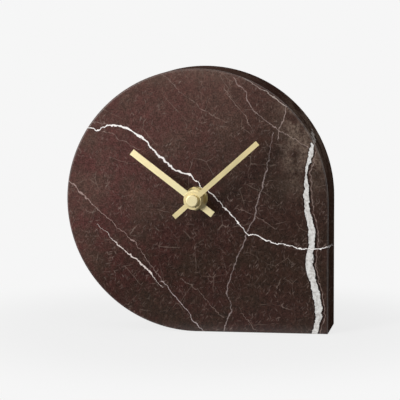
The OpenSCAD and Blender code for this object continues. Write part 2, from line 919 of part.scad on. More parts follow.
module chip_cover() {
    ball_r = (pow(chip_d / 2, 2) + pow(chip_h, 2)) / (2 * chip_h);
    at = [board_x0 + board_len * 0.3, board_z0 + board_w * 0.65];
    color([0.08, 0.08, 0.08])
        intersection() {
            translate([at.x, movement_y + board_back + chip_h - ball_r, axis_z + at.y])
                sphere(ball_r);
            bar(board_back, board_back + 2 * chip_h, 2 * ball_r, at);
        }
}

module positive_contact() {
    color([0.8, 0.78, 0.7])
        union() {
            end_plate(1);
            tail(1);
        }
}

module negative_contact() {
    color([0.8, 0.78, 0.7])
        union() {
            end_plate(-1);
            tail(-1);
            leaf();
        }
}

// Plate at one end of the battery bay, with a leg up to the circuit board's level
module end_plate(side) {
    plate_w = cell_d * 0.6;
    x0 = side > 0 ? inner_half - contact_t : -inner_half;
    translate([x0, movement_y + cell_depth - plate_w / 2, axis_z + cell_z - plate_w / 2])
        cube([contact_t, plate_w, plate_w]);
    translate([x0, movement_y + board_back - tail_w, axis_z + cell_z])
        cube([contact_t, tail_w + contact_t, tail_z + tail_w / 2 - cell_z]);
}

// Strip from that leg onto the circuit board
module tail(side) {
    lap = 2 * tail_w;
    board_end = side > 0 ? board_x0 + board_len - lap : board_x0 + lap;
    layer(board_back, contact_t)
        translate([min(board_end, side * inner_half), tail_z - tail_w / 2])
            square([abs(side * inner_half - board_end), tail_w]);
}

// Bent leaf that presses on the flat end of the cell
module leaf() {
    reach = inner_w - 2 * contact_t - cell_len;
    half = cell_d / 4;
    translate([contact_t - inner_half, movement_y + cell_depth, axis_z + cell_z - tail_w])
        linear_extrude(2 * tail_w)
            polygon([
                [0, -half],
                [reach, 0],
                [0, half],
                [0, half - 2 * contact_t],
                [reach - contact_t, 0],
                [0, 2 * contact_t - half]
            ]);
}

module aa_battery() {
    color([0.25, 0.28, 0.3])
        translate([cell_x, movement_y + cell_depth, axis_z + cell_z])
            rotate([0, -90, 0]) {
                cylinder(d = button_d, h = cell_len);
                translate([0, 0, button_h])
                    cylinder(d = cell_d, h = cell_len - button_h);
            }
}

module setting_knob() {
    grips = 24;
    shoulder_d = motion_d + wheel_t + wheel_gap;
    grip_shares = [[-1, -0.5, 0.75], [-1, 0.5, 0.5], [1, 0.5, 0.5], [1, -0.5, 0.75]];
    color([0.12, 0.12, 0.13])
        union() {
            difference() {
                layer(case_depth + wheel_gap, knob_h, setting_at)
                    gear(grips, knob_d / (grips + 1), 0, grip_shares, 0);
                layer(case_depth + wheel_gap + knob_h - dish_depth, knob_h, setting_at)
                    circle(d = knob_d * dish_share);
            }
            bar(shoulder_d, case_depth + wheel_gap + knob_h / 2, shaft_d, setting_at);
            bar(case_wall - pivot_len + running_gap, shoulder_d + wheel_gap, shaft_end_d, setting_at);
        }
}

module setting_pinion() {
    color([0.93, 0.93, 0.9])
        layer(motion_d - wheel_gap / 2, wheel_t + wheel_gap, setting_at)
            gear(setting_teeth, cannon_m, setting_phase, leaf_shares, shaft_end_d + 2 * press_gap);
}

marble_body();
brass_washer();
clamp_nut();
threaded_bushing();
rubber_gasket();
hour_hand();
minute_hand();
cap_nut();
front_case();
gear_plate();
rear_cover();
hour_wheel();
motion_wheel();
minute_wheel();
third_wheel();
seconds_wheel();
intermediate_wheel();
rotor_pinion();
rotor_magnet();
stator();
coil_core();
coil_bobbin();
coil_winding();
circuit_board();
quartz_crystal();
chip_cover();
positive_contact();
negative_contact();
aa_battery();
setting_knob();
setting_pinion();
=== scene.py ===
# A desk clock as it goes together: a slab of dark marble, a battery movement clamped to it through a bore,
# and two brass baton hands on the movement's pipes. All is in metres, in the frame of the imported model.
import bmesh
import bpy
import math
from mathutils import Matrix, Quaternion, Vector


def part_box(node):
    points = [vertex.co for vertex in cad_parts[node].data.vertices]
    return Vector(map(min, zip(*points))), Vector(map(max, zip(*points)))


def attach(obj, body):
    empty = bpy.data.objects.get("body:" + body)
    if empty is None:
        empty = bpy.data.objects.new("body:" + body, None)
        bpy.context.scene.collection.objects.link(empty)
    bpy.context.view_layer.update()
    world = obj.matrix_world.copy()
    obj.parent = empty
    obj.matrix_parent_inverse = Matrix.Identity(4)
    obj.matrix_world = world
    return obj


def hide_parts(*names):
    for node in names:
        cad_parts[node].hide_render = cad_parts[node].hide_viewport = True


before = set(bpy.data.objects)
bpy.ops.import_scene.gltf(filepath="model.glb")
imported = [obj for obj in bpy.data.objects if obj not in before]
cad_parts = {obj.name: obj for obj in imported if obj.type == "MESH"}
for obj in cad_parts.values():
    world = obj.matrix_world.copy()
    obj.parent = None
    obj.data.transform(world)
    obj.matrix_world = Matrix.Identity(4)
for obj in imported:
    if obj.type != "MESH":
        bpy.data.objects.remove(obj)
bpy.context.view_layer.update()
bpy.ops.object.select_all(action="DESELECT")
mm = 0.001

# The photographer's view: low, a little to the right, and from far enough away to flatten the slab.
# The lens is for Blender's 36 mm sensor, and the slight roll is the photograph's own.
view_azimuth = 8.8
view_elevation = 6.03
view_distance = 1.183
view_lens = 201.1
view_roll = math.radians(-0.143)
face_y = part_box("marble_body")[0].y
look_at = Vector((0.0019, face_y, 0.07047))


def bearing(azimuth, elevation):
    """Direction from the clock, in degrees. Azimuth 0 is straight in front, and minus is to the left."""
    turn, rise = math.radians(azimuth), math.radians(elevation)
    return Vector((math.sin(turn) * math.cos(rise), -math.cos(turn) * math.cos(rise), math.sin(rise)))


towards_camera = bearing(view_azimuth, view_elevation)
bpy.ops.object.camera_add(location=look_at + view_distance * towards_camera)
camera = bpy.context.object
camera.rotation_mode = "QUATERNION"
level = (-towards_camera).to_track_quat("-Z", "Y")
camera.rotation_quaternion = level @ Quaternion((0, 0, 1), view_roll)
camera.data.lens = view_lens
bpy.context.scene.camera = camera
bpy.context.scene.view_settings.view_transform = "Standard"

# The stone: a thick slab of dark brown and wine-red marble, crossed by white calcite veins. It is sawn to a
# disc with one square corner, so that it stands on its lower edge. A bore takes the clamp's bushing, and a
# round pocket, milled from behind, takes the movement. Its edges are eased and its face is polished.
slab_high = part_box("marble_body")[1]
slab_r = slab_high.x
back_y = slab_high.y
dial_t = 9 * mm
floor_y = face_y + dial_t
hub_z = sum(corner.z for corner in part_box("threaded_bushing")) / 2
hub = Vector((0, 0, hub_z))
stone_ease = 0.9 * mm
corner_ease = 0.35 * mm
pocket_r = 43 * mm
pocket_ease = 1 * mm
bore_r = 4.4 * mm
bore_ease = 0.3 * mm
slab_sides = 256
facing = (math.pi / 2, 0, 0)
tiny = 0.01 * mm
sharp_turn = 1.0
flat_turn = 0.1


def pick(kind, test):
    """Selects the vertices, edges or faces of the mesh in edit mode that pass a test on their place.

    An edge also gives the angle between its faces, in radians, and a face its normal."""
    bpy.ops.mesh.select_mode(type=kind)
    bpy.ops.mesh.select_all(action="DESELECT")
    mesh = bmesh.from_edit_mesh(bpy.context.object.data)
    if kind == "VERT":
        for vertex in mesh.verts:
            vertex.select_set(bool(test(vertex.co)))
    if kind == "EDGE":
        for edge in mesh.edges:
            middle = (edge.verts[0].co + edge.verts[1].co) / 2
            edge.select_set(bool(test(middle, edge.calc_face_angle(0))))
    if kind == "FACE":
        for face in mesh.faces:
            face.select_set(bool(test(face.calc_center_median(), face.normal)))
    bmesh.update_edit_mesh(bpy.context.object.data)


def draw_out(x=0.0, y=0.0):
    """Draws what is selected in edit mode out along X or Y."""
    bpy.ops.mesh.extrude_region_move(TRANSFORM_OT_translate={"value": (x, y, 0)})


def turn_outwards():
    """Selects the whole mesh in edit mode and turns its faces outwards."""
    bpy.ops.mesh.select_all(action="SELECT")
    bpy.ops.mesh.normals_make_consistent(inside=False)


def finish(piece, name, ease=0.0, steps=3, angle=30, smooth=40):
    """Names a piece, rounds its sharp edges and shades it so that its flat faces stay flat.

    Edges over angle degrees are rounded, and those under smooth degrees are shaded as one surface."""
    piece.name = name
    piece.data.name = name
    bpy.ops.object.select_all(action="DESELECT")
    piece.select_set(True)
    bpy.context.view_layer.objects.active = piece
    if ease:
        round_off = piece.modifiers.new("ease", "BEVEL")
        round_off.width = ease
        round_off.segments = steps
        round_off.limit_method = "ANGLE"
        round_off.angle_limit = math.radians(angle)
        bpy.ops.object.modifier_apply(modifier=round_off.name)
    bpy.ops.object.shade_smooth_by_angle(angle=math.radians(smooth))
    flat = piece.modifiers.new("flat", "WEIGHTED_NORMAL")
    flat.weight = 100
    flat.keep_sharp = True
    bpy.ops.object.modifier_apply(modifier=flat.name)
    piece.select_set(False)


def srgb(code):
    """Linear colour of an sRGB hex code."""
    shares = [int(code[i:i + 2], 16) / 255 for i in (1, 3, 5)]
    return [s / 12.92 if s <= 0.04045 else ((s + 0.055) / 1.055) ** 2.4 for s in shares] + [1]


def live(node):
    """The first output of a shader node that is in use."""
    return next(s for s in node.outputs if s.enabled)


def add(tree, kind, inputs, **settings):
    """Adds a shader node. An input is a value, a colour code, a socket, or a node for its live output."""
    node = tree.nodes.new("ShaderNode" + kind)
    for key, value in settings.items():
        setattr(node, key, value)
    for key, value in inputs.items():
        socket = node.inputs[key] if isinstance(key, int) else next(
            s for s in node.inputs if s.enabled and s.name == key
        )
        if isinstance(value, bpy.types.Node):
            value = live(value)
        if isinstance(value, str):
            value = srgb(value)
        if isinstance(value, bpy.types.NodeSocket):
            tree.links.new(value, socket)
        else:
            socket.default_value = value
    return node


def blank(name, colour, roughness, metallic=0.0, shine=0.5):
    """Starts a material, and gives its nodes, its shader and the place on the object as well."""
    material = bpy.data.materials.new(name)
    material.use_nodes = True
    tree = material.node_tree
    shader = tree.nodes["Principled BSDF"]
    shader.inputs["Base Color"].default_value = srgb(colour)
    shader.inputs["Roughness"].default_value = roughness
    shader.inputs["Metallic"].default_value = metallic
    shader.inputs["Specular IOR Level"].default_value = shine
    return material, tree, shader, add(tree, "TexCoord", {}).outputs["Object"]


def surface(tree, shader, share, colours, height, strength, depth, dull=None):
    """Ends a material: two colours mixed by a share, relief of a depth in millimetres, and roughness."""
    tone = add(tree, "Mix", {"Factor": share, "A": colours[0], "B": colours[1]}, data_type="RGBA")
    bump = add(tree, "Bump", {"Height": height, "Strength": strength, "Distance": depth * mm})
    for socket, node in (("Base Color", tone), ("Normal", bump), ("Roughness", dull)):
        if node:
            tree.links.new(live(node), shader.inputs[socket])


# Outline: a circle, its lower right quarter drawn out to the square corner, with as many points on the two
# straight edges as on the quarter that they replace, then drawn back to the slab's thickness
bpy.ops.mesh.primitive_circle_add(
    vertices=slab_sides, radius=slab_r, location=(0, face_y, slab_r), rotation=facing
)
bpy.ops.object.transform_apply()
slab = bpy.context.object
bpy.ops.object.mode_set(mode="EDIT")
pick("VERT", lambda at: at.x > tiny and at.z < slab_r - tiny)
bpy.ops.mesh.delete(type="VERT")
pick("VERT", lambda at: abs(at.x) < tiny and at.z < tiny)
draw_out(x=slab_r)
pick("VERT", lambda at: at.x > slab_r - tiny)
bpy.ops.mesh.edge_face_add()
foot_from, side_to = slab_r / 3, slab_r * 0.6
pick("EDGE", lambda at, turn: (
    at.x > foot_from and (at.z < tiny or at.x > slab_r - tiny and at.z < side_to)
))
bpy.ops.mesh.subdivide(number_cuts=slab_sides // 8 - 1)
bpy.ops.mesh.select_all(action="SELECT")
draw_out(y=back_y - face_y)

# Pocket and bore: their walls are drawn out of circles, and the flat faces are bridged between the rims
for radius, y0, y1 in ((pocket_r, back_y, floor_y), (bore_r, floor_y, face_y)):
    bpy.ops.mesh.select_all(action="DESELECT")
    bpy.ops.mesh.primitive_circle_add(
        vertices=slab_sides, radius=radius, location=(0, y0, hub_z), rotation=facing
    )
    draw_out(y=y1 - y0)
for rim_y in (face_y, floor_y, back_y):
    pick("EDGE", lambda at, turn: abs(at.y - rim_y) < tiny)
    bpy.ops.mesh.bridge_edge_loops()
turn_outwards()


def off_axis(at):
    """Distance from the axis of the hands."""
    return math.hypot(at.x, at.z - hub_z)


# The spokes that run to the square corner are dissolved, so that no sliver of a face bends the light there
to_corner = math.atan2(-hub_z, slab_r)
spread = 0.3
fan_from = 0.3 * slab_r
pick("EDGE", lambda at, turn: (
    abs(math.atan2(at.z - hub_z, at.x) - to_corner) < spread and turn < flat_turn
    and fan_from < off_axis(at) < slab_r and not face_y + tiny < at.y < back_y - tiny
))
bpy.ops.mesh.dissolve_edges(use_verts=False)

# The eased edges: the square corner's upright, both faces' rims, the pocket's mouth and the bore's two ends
beyond_disc = 1.2 * slab_r
pick("EDGE", lambda at, turn: (
    turn > sharp_turn and face_y + tiny < at.y < back_y - tiny and off_axis(at) > beyond_disc
))
bpy.ops.mesh.bevel(offset=corner_ease, segments=3, affect="EDGES", loop_slide=False)
for ease, steps, near, far, y0, y1 in (
    (stone_ease, 5, 0.9 * slab_r, 2 * slab_r, face_y, back_y),
    (pocket_ease, 4, 0.9 * pocket_r, 1.1 * pocket_r, back_y, back_y),
    (bore_ease, 2, 0, 1.1 * bore_r, face_y, floor_y),
):
    pick("EDGE", lambda at, turn: (
        turn > sharp_turn and near < off_axis(at) < far
        and (abs(at.y - y0) < tiny or abs(at.y - y1) < tiny)
    ))
    bpy.ops.mesh.bevel(offset=ease, segments=steps, affect="EDGES", loop_slide=False)
bpy.ops.object.mode_set(mode="OBJECT")
finish(slab, "marble_slab")

# The veins as they cross the face, in millimetres from the middle of its foot. Each runs along x or z and is
# given by (along, across, width) points. Its colour, its strength, how hard its edge is and how often it
# breaks follow. Later veins lie over earlier ones.
chalk = "#f4efec"
ash = "#d9d8d5"
dusk = "#a08c83"
rose = "#8f7c75"
pitch = "#120a08"
white_vein = [
    (-59, 109, 0.6), (-52, 106.8, 0.7), (-50.3, 108.2, 0.6), (-46, 109.8, 0.7), (-39.5, 108.8, 0.9),
    (-34, 106.3, 1.1), (-30, 103.5, 1.4), (-26, 100.5, 1.5), (-24, 97.5, 1.5), (-18, 92, 1.5), (-11, 86, 1.4),
    (-7.5, 85, 1.1), (-2, 83, 0.9), (3, 77, 0.9), (6, 75, 0.8), (9, 73, 0.9), (12, 69.5, 0.9), (15, 66, 0.8),
    (21.5, 60, 0.8), (27, 53, 0.8), (28, 52, 0.6), (30.5, 52.2, 0.6), (34.5, 50.7, 0.6), (43, 47.7, 0.6),
    (50.5, 47, 0.5), (55, 45.7, 0.5), (58.5, 45, 0.6), (65, 45.3, 0.5), (72, 47, 0.4)
]
broad_vein = [
    (-2, 63, 3.4), (5, 64, 3.4), (9, 65, 3.5), (14.5, 65, 3.6), (19.5, 64, 3.8), (23.5, 63.5, 3.7),
    (27.5, 62, 3.6), (32.5, 61, 3.8), (37.5, 60, 3.9), (42, 60.5, 3.9), (48, 61.5, 3.7), (54, 61.5, 3.5),
    (60, 60.5, 3.4), (65, 59, 3), (72, 58.5, 2.8), (78, 58.5, 2.7), (83, 58.5, 1.8), (85, 58.5, 1.2),
    (88, 59, 1.6), (94, 60.5, 2), (97, 61, 1.9), (100, 61.2, 1.3), (101, 61.3, 0)
]
broad_rift = [(34, 62.5, 0.3), (37, 63, 1.3), (40, 61.6, 0.7), (42, 62.6, 1.2), (44, 62.4, 0.3)]
broad_end = [(100.5, 62.4, 0.4), (103, 62.6, 1.8), (106, 62, 2.1), (108, 61.5, 0.4)]
grey_vein = [
    (-1, 14, 0.7), (4, 15.5, 0.9), (11, 18.5, 0.7), (15, 18.5, 0.3), (18, 17, 0.2), (21, 16, 0.6),
    (26.5, 17, 0.9), (30.5, 18.5, 0.7), (36.5, 20.5, 0.6), (42, 22.5, 0.6), (48, 25.5, 0.8), (53, 27, 0.6),
    (57, 28.5, 1), (60.5, 30.5, 1.1), (64.5, 31.5, 0.8), (70.5, 32.5, 0.7), (76, 34.5, 0.7), (82, 36, 0.8),
    (90, 38, 0.8), (94, 38.5, 0.5), (99, 39.5, 0.3), (106, 41, 0.3)
]
left_fine_vein = [
    (-70, 80, 0.7), (-68, 79, 0.9), (-63.5, 74.5, 1.2), (-57, 68.5, 0.9), (-54, 65, 0.6), (-49, 61, 0.5),
    (-43.5, 56.5, 0.5), (-37.5, 50.5, 0.5), (-32, 46, 0.5), (-28, 39.5, 0.5), (-25, 35.5, 0.5), (-18, 26, 0.5)
]
left_bright_vein = [
    (-53, 56.5, 0.2), (-49, 52.5, 0.35), (-45.5, 49, 0.5), (-41, 44.7, 0.9), (-38.3, 42.3, 0.5),
    (-36.5, 41, 1.1), (-33, 38.4, 1.3), (-28.8, 34.6, 1.4), (-23.5, 30, 1.2), (-22, 27.8, 0.5),
    (-20.5, 25.3, 0.4), (-19, 23.5, 0.3)
]
left_lower_vein = [
    (-18.3, 26.8, 0.5), (-15.4, 23.2, 0.8), (-13, 19.8, 0.7), (-9.2, 16, 0.8), (-4.9, 11.2, 0.6),
    (-2.5, 6.5, 0.9), (0.3, 3.6, 0.8), (3, 1, 0.7), (5, -1, 0.7)
]
rim_vein = [
    (24, 136, 0.4), (26.5, 134.5, 0.6), (34, 129.5, 0.6), (41, 125, 0.75), (45, 122.3, 0.9), (48, 120, 0.5)
]
rim_drop = [(103, 43.5, 0.3), (108, 44, 0.6), (111.5, 45, 0.9), (114.5, 46.5, 0.9), (120.5, 48, 0.6)]
top_vein = [
    (98, 62, 0.4), (103.5, 51.5, 1), (107.5, 44.5, 1), (111.5, 39, 0.8), (115, 34, 0.8), (118, 30.5, 0.7),
    (123, 27.5, 0.8), (128, 27, 0.7), (131, 23, 0.9), (134.5, 20, 1)
]
top_branch = [
    (108, 30, 0.3), (113, 27, 0.5), (117, 25, 0.5), (121.5, 20.5, 0.5), (126, 17, 0.5), (130, 15, 0.5)
]
veins = [
    ("x", [(-18, 137, 0.5), (-6.5, 126, 0.6), (3.5, 118, 0.6), (16, 112, 0.7)], dusk, 0.45, 0.2, 0.5),
    ("x", [(-55, 111.5, 0.5), (-49.5, 110.5, 0.6), (-46.5, 109.5, 0.4)], dusk, 0.6, 0.2, 0.3),
    ("x", [(-50.5, 106.5, 0.5), (-45, 105, 0.6), (-39.5, 101.5, 0.6), (-31, 97, 0.6)], dusk, 0.5, 0.2, 0.4),
    ("x", [(-8.5, 28, 0.5), (0, 23, 0.6), (7, 15, 0.6), (14, 8, 0.5)], dusk, 0.5, 0.2, 0.4),
    ("x", [(24.5, 10, 0.4), (31, 2, 0.6)], dusk, 0.5, 0.2, 0.3),
    ("x", [(22, 66.5, 0.3), (32.5, 61.5, 0.5), (42.5, 55.5, 0.5)], dusk, 0.45, 0.2, 0.4),
    ("z", top_branch, dusk, 0.6, 0.2, 0.3),
    ("z", top_vein, "#a3908a", 0.7, 0.3, 0.3),
    ("z", rim_drop, "#a3908a", 0.75, 0.3, 0.2),
    ("x", rim_vein, "#b3a69f", 0.85, 0.3, 0.2),
    ("x", left_fine_vein, "#a8918a", 0.85, 0.3, 0.2),
    ("x", left_bright_vein, "#dccfc9", 0.95, 0.45, 0.05),
    ("x", left_lower_vein, "#b9abaa", 0.9, 0.35, 0.1),
    ("z", grey_vein, "#9a8b88", 0.75, 0.3, 0.2),
    ("z", [(z, x + w / 2 + 1.5, 0.6) for z, x, w in broad_vein], rose, 0.8, 0.3, 0.35),
    ("z", [(z, x + w / 2 + 0.3, 1) for z, x, w in broad_vein], pitch, 0.95, 0.4, 0.45),
    ("z", [(z, x - w / 2 - 0.2, 0.8) for z, x, w in broad_vein], pitch, 0.8, 0.3, 0.35),
    ("z", broad_end, "#b5aea8", 0.85, 0.6, 0.2),
    ("z", broad_vein, ash, 1, 0.85, 0),
    ("z", broad_rift, pitch, 0.9, 0.5, 0.5),
    ("x", white_vein, chalk, 1, 0.6, 0),
]
vein_span = 160
vein_start = {"x": -80, "z": -10}
vein_widest = 8
vein_taper = 0.008
hair_layer_step = 50
soft_step = {"interpolation_type": "SMOOTHSTEP"}


def patches(tree, place, size, detail, roughness, low, high, least=0.0, most=1.0):
    """Patches of a size: noise that rises from least to most between two of its levels."""
    noise = add(tree, "TexNoise", {
        "Vector": place, "Scale": 1 / size, "Detail": detail, "Roughness": roughness
    })
    return add(tree, "MapRange", {
        "Value": noise, "From Min": low, "From Max": high, "To Min": least, "To Max": most
    }, **soft_step)


def marble(name, polish, shine, dust=0.0):
    """One stone with four finishes: polish is its roughness, shine its gloss, dust the paleness of a cut."""
    material, tree, shader, place = blank(name, "#463630", polish, shine=shine)
    stone = add(tree, "Mapping", {
        "Vector": place, "Location": (0, -face_y / mm, 0), "Scale": (1 / mm, 1 / mm, 1 / mm)
    })
    parts = add(tree, "SeparateXYZ", {"Vector": stone})
    x, depth, z = parts.outputs

    # Ground of the stone: brown with wine-red clouds, darker and greener towards the square corner. The fall
    # from the lighter upper left is partly the stone's own tone and partly painted shade of the light from
    # the left
    drift = add(tree, "TexNoise", {"Vector": stone, "Scale": 1 / 26, "Detail": 3.0, "Roughness": 0.55})
    tone_and_shade_fall = add(tree, "VectorMath", {0: stone, 1: (0.747, 0, -0.9)}, operation="DOT_PRODUCT")
    tone_and_shade_fall = add(tree, "Math", {0: drift, 1: 40.0, 2: tone_and_shade_fall}, operation="MULTIPLY_ADD")
    tone_and_painted_shade = add(tree, "MapRange", {"Value": tone_and_shade_fall, "From Min": -100.0, "From Max": -20.0}, **soft_step)
    # Lighter to the upper left, darker to the lower right: the stone's own tone with painted shade mixed in
    brown = add(tree, "Mix", {"Factor": tone_and_painted_shade, "A": "#4d3831", "B": "#2f221b"}, data_type="RGBA")
    wine = add(tree, "Mix", {"Factor": tone_and_painted_shade, "A": "#4a2c29", "B": "#351d1a"}, data_type="RGBA")
    cloud = patches(tree, stone, 24, 8.0, 0.68, 0.38, 0.6)
    lean = add(tree, "VectorMath", {0: stone, 1: (1, 0, 0.3)}, operation="DOT_PRODUCT")
    lean = add(tree, "MapRange", {
        "Value": lean, "From Min": -40.0, "From Max": 80.0, "To Min": 1.1, "To Max": 0.3
    })
    reddened = add(tree, "Math", {0: cloud, 1: lean}, operation="MULTIPLY")
    ground = add(tree, "Mix", {"Factor": reddened, "A": brown, "B": wine}, data_type="RGBA")

    # Mottling at three sizes: clots of 6 mm, grains of 2 mm and grit of under a millimetre
    for size, detail, low, high in ((6, 5.0, 0.82, 1.2), (2.1, 3.0, 0.78, 1.25), (0.8, 2.0, 0.64, 1.4)):
        clots = patches(tree, stone, size, detail, 0.7, 0.3, 0.7, low, high)
        ground = add(tree, "VectorMath", {0: ground, "Scale": clots}, operation="SCALE")

    # Places thrown about at random at two sizes, so that the veins wander and their edges are ragged
    throws = []
    for size, reach in ((3.6, 3.2), (1.0, 0.9)):
        throw = add(tree, "TexNoise", {"Vector": stone, "Scale": 1 / size, "Detail": 2.0})
        throw = add(tree, "VectorMath", {0: throw.outputs[1], 1: (0.5, 0.5, 0.5)}, operation="SUBTRACT")
        throws.append(add(tree, "VectorMath", {0: throw, "Scale": reach}, operation="SCALE"))
    ragged = add(tree, "VectorMath", {0: stone, 1: throws[0]}, operation="ADD")
    ragged = add(tree, "VectorMath", {0: ragged, 1: throws[1]}, operation="ADD")
    calm = add(tree, "VectorMath", {0: throws[0], 1: (0.35, 0.35, 0.35), 2: stone}, operation="MULTIPLY_ADD")

    # Healed cracks: short faint hairs in several directions, gathered in flocks, and a wide broken crackle
    flock = patches(tree, stone, 13, 4.0, 0.65, 0.45, 0.66)
    for turn, length, width, pale in (
        (0.75, 5, 1.1, 0.54), (-0.6, 4.6, 1.2, 0.48), (0.2, 4.2, 1.1, 0.42), (1.35, 5.4, 1.2, 0.4),
        (-0.2, 3.6, 1, 0.42)
    ):
        lie = add(tree, "Mapping", {
            "Vector": calm, "Location": (turn * hair_layer_step, 0, 0), "Rotation": (0, turn, 0),
            "Scale": (width, length, length)
        }, vector_type="TEXTURE")
        hair = add(tree, "TexVoronoi", {"Vector": lie, "Scale": 1.0})
        kept = add(tree, "SeparateColor", {"Color": hair.outputs["Color"]})
        kept = add(tree, "MapRange", {"Value": kept.outputs[0], "From Min": 0.35, "From Max": 0.9})
        hair = add(tree, "MapRange", {
            "Value": hair.outputs["Distance"], "From Min": 0.08, "From Max": 0.3, "To Min": 1.0, "To Max": 0.0
        })
        share = add(tree, "Math", {0: flock, 1: pale, 2: pale * 0.4}, operation="MULTIPLY_ADD")
        for other in (kept, hair):
            share = add(tree, "Math", {0: share, 1: other}, operation="MULTIPLY")
        ground = add(tree, "Mix", {"Factor": share, "A": ground, "B": "#83726a"}, data_type="RGBA")
    for cell, reach, pale in ((17, 0.012, 0.3), (8, 0.014, 0.16)):
        web = add(tree, "TexVoronoi", {"Vector": calm, "Scale": 1 / cell}, feature="DISTANCE_TO_EDGE")
        web = add(tree, "MapRange", {
            "Value": web, "From Min": 0.0, "From Max": reach, "To Min": pale, "To Max": 0.0
        }, **soft_step)
        broken = add(tree, "TexNoise", {"Vector": stone, "Scale": 1.6 / cell, "Detail": 2.0})
        broken = add(tree, "MapRange", {"Value": broken, "From Min": 0.5, "From Max": 0.6})
        share = add(tree, "Math", {0: web, 1: broken}, operation="MULTIPLY")
        ground = add(tree, "Mix", {"Factor": share, "A": ground, "B": "#97867b"}, data_type="RGBA")

    # Grey-brown calcite dust, in specks, beside the upper half of the broad vein and along the top of the rim
    broad_vein_x = 57.5
    beside = add(tree, "Math", {0: x, 1: broad_vein_x}, operation="SUBTRACT")
    beside = add(tree, "Math", {0: beside}, operation="ABSOLUTE")
    beside = add(tree, "MapRange", {
        "Value": beside, "From Min": 5.0, "From Max": 18.0, "To Min": 1.0, "To Max": 0.0
    }, **soft_step)
    high = add(tree, "MapRange", {"Value": z, "From Min": 62.0, "From Max": 104.0}, **soft_step)
    speck = add(tree, "TexNoise", {"Vector": stone, "Scale": 1 / 1.3, "Detail": 4.0, "Roughness": 0.75})
    speck = add(tree, "MapRange", {
        "Value": speck, "From Min": 0.42, "From Max": 0.64, "To Min": 0.1, "To Max": 0.85
    })
    share = add(tree, "Math", {0: beside, 1: high}, operation="MULTIPLY")
    dusted = patches(tree, stone, 9, 4.0, 0.5, 0.36, 0.56)
    share = add(tree, "Math", {0: share, 1: dusted}, operation="MULTIPLY")
    crown = add(tree, "MapRange", {
        "Value": z, "From Min": 128.0, "From Max": 141.0, "To Min": 0.0, "To Max": 0.42
    }, **soft_step)
    share = add(tree, "Math", {0: share, 1: crown}, operation="MAXIMUM")
    share = add(tree, "Math", {0: share, 1: speck}, operation="MULTIPLY")
    ground = add(tree, "Mix", {"Factor": share, "A": ground, "B": "#7f6e61"}, data_type="RGBA")

    # Veins: sheets that lean a little as they go back through the stone
    parts = add(tree, "SeparateXYZ", {"Vector": ragged})
    lean_x = add(tree, "Math", {0: depth, 1: 0.12, 2: parts.outputs[0]}, operation="MULTIPLY_ADD")
    lean_z = add(tree, "Math", {0: depth, 1: 0.1, 2: parts.outputs[2]}, operation="MULTIPLY_ADD")
    thin = add(tree, "TexNoise", {"Vector": stone, "Scale": 1 / 3.5, "Detail": 3.0, "Roughness": 0.6})
    curd = patches(tree, stone, 1.9, 4.0, 0.65, 0.4, 0.66)
    for runs, points, colour, strength, core, breaks in veins:
        along, across = (lean_x, lean_z) if runs == "x" else (lean_z, lean_x)
        other = "z" if runs == "x" else "x"
        share = add(tree, "Math", {
            0: along, 1: 1 / vein_span, 2: -vein_start[runs] / vein_span
        }, operation="MULTIPLY_ADD")
        curves = []
        for low, span, column in ((vein_start[other], vein_span, 1), (0, vein_widest, 2)):
            curve = add(tree, "FloatCurve", {"Value": share})
            line = curve.mapping.curves[0]
            spots = sorted(((p[0] - vein_start[runs]) / vein_span, (p[column] - low) / span) for p in points)
            if column == 2:
                first, last = spots[0][0] - vein_taper, spots[-1][0] + vein_taper
                spots = [(0, 0), (first, 0), *spots, (last, 0), (1, 0)]
            while len(line.points) < len(spots):
                line.points.new(0.5, 0.5)
            for point, spot in zip(line.points, spots):
                point.location = spot
                point.handle_type = "VECTOR"
            curve.mapping.extend = "HORIZONTAL"
            curve.mapping.update()
            curve = add(tree, "Math", {0: curve, 1: float(span), 2: float(low)}, operation="MULTIPLY_ADD")
            curves.append(curve)
        middle, width = curves
        gap = add(tree, "Math", {0: across, 1: middle}, operation="SUBTRACT")
        gap = add(tree, "Math", {0: gap}, operation="ABSOLUTE")
        rim = add(tree, "Math", {0: width, 1: 0.5, 2: 0.001}, operation="MULTIPLY_ADD")
        full = add(tree, "Math", {0: rim, 1: core}, operation="MULTIPLY")
        solid = add(tree, "MapRange", {"Value": gap, "From Min": rim, "From Max": full}, **soft_step)
        whole = add(tree, "MapRange", {
            "Value": thin, "From Min": 0.35, "From Max": 0.55,
            "To Min": strength * (1 - 2 * breaks), "To Max": strength
        })
        share = add(tree, "Math", {0: solid, 1: whole}, operation="MULTIPLY")
        if points is broad_vein:
            colour = add(tree, "Mix", {"Factor": curd, "A": colour, "B": "#aeaaa6"}, data_type="RGBA")
        ground = add(tree, "Mix", {"Factor": share, "A": ground, "B": colour}, data_type="RGBA")
    tree.links.new(live(ground), shader.inputs["Base Color"])

    # A milled surface scatters light from its open grains: it looks paler and greyer, and its marks show
    if dust:
        grain = add(tree, "TexNoise", {"Vector": stone, "Scale": 1 / 0.35, "Detail": 4.0, "Roughness": 0.7})
        surface(tree, shader, dust, (ground, "#8f8680"), grain, strength=0.5, depth=0.05)
    return material


# Marble, polished to a shine on the face, honed dull round the edge and at the back, and left as milled in
# the pocket and the bore. The front edge is eased by hand, so it is softer than the face and catches a thin
# line of light.
for stone_finish in (
    marble("polished_marble", polish=0.16, shine=0.5), marble("honed_marble", polish=0.6, shine=0.0),
    marble("milled_marble", polish=0.8, shine=0.2, dust=0.35), marble("eased_marble", polish=0.42, shine=0.4)
):
    slab.data.materials.append(stone_finish)
polished, honed, milled, eased = range(4)
for face in slab.data.polygons:
    at = face.center
    if off_axis(at) < pocket_r + tiny and at.y > face_y + bore_ease:
        face.material_index = milled
    elif at.y > face_y + stone_ease + tiny:
        face.material_index = honed
    else:
        face.material_index = eased if at.y > face_y + tiny else polished
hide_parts("marble_body")
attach(slab, "clock_body")

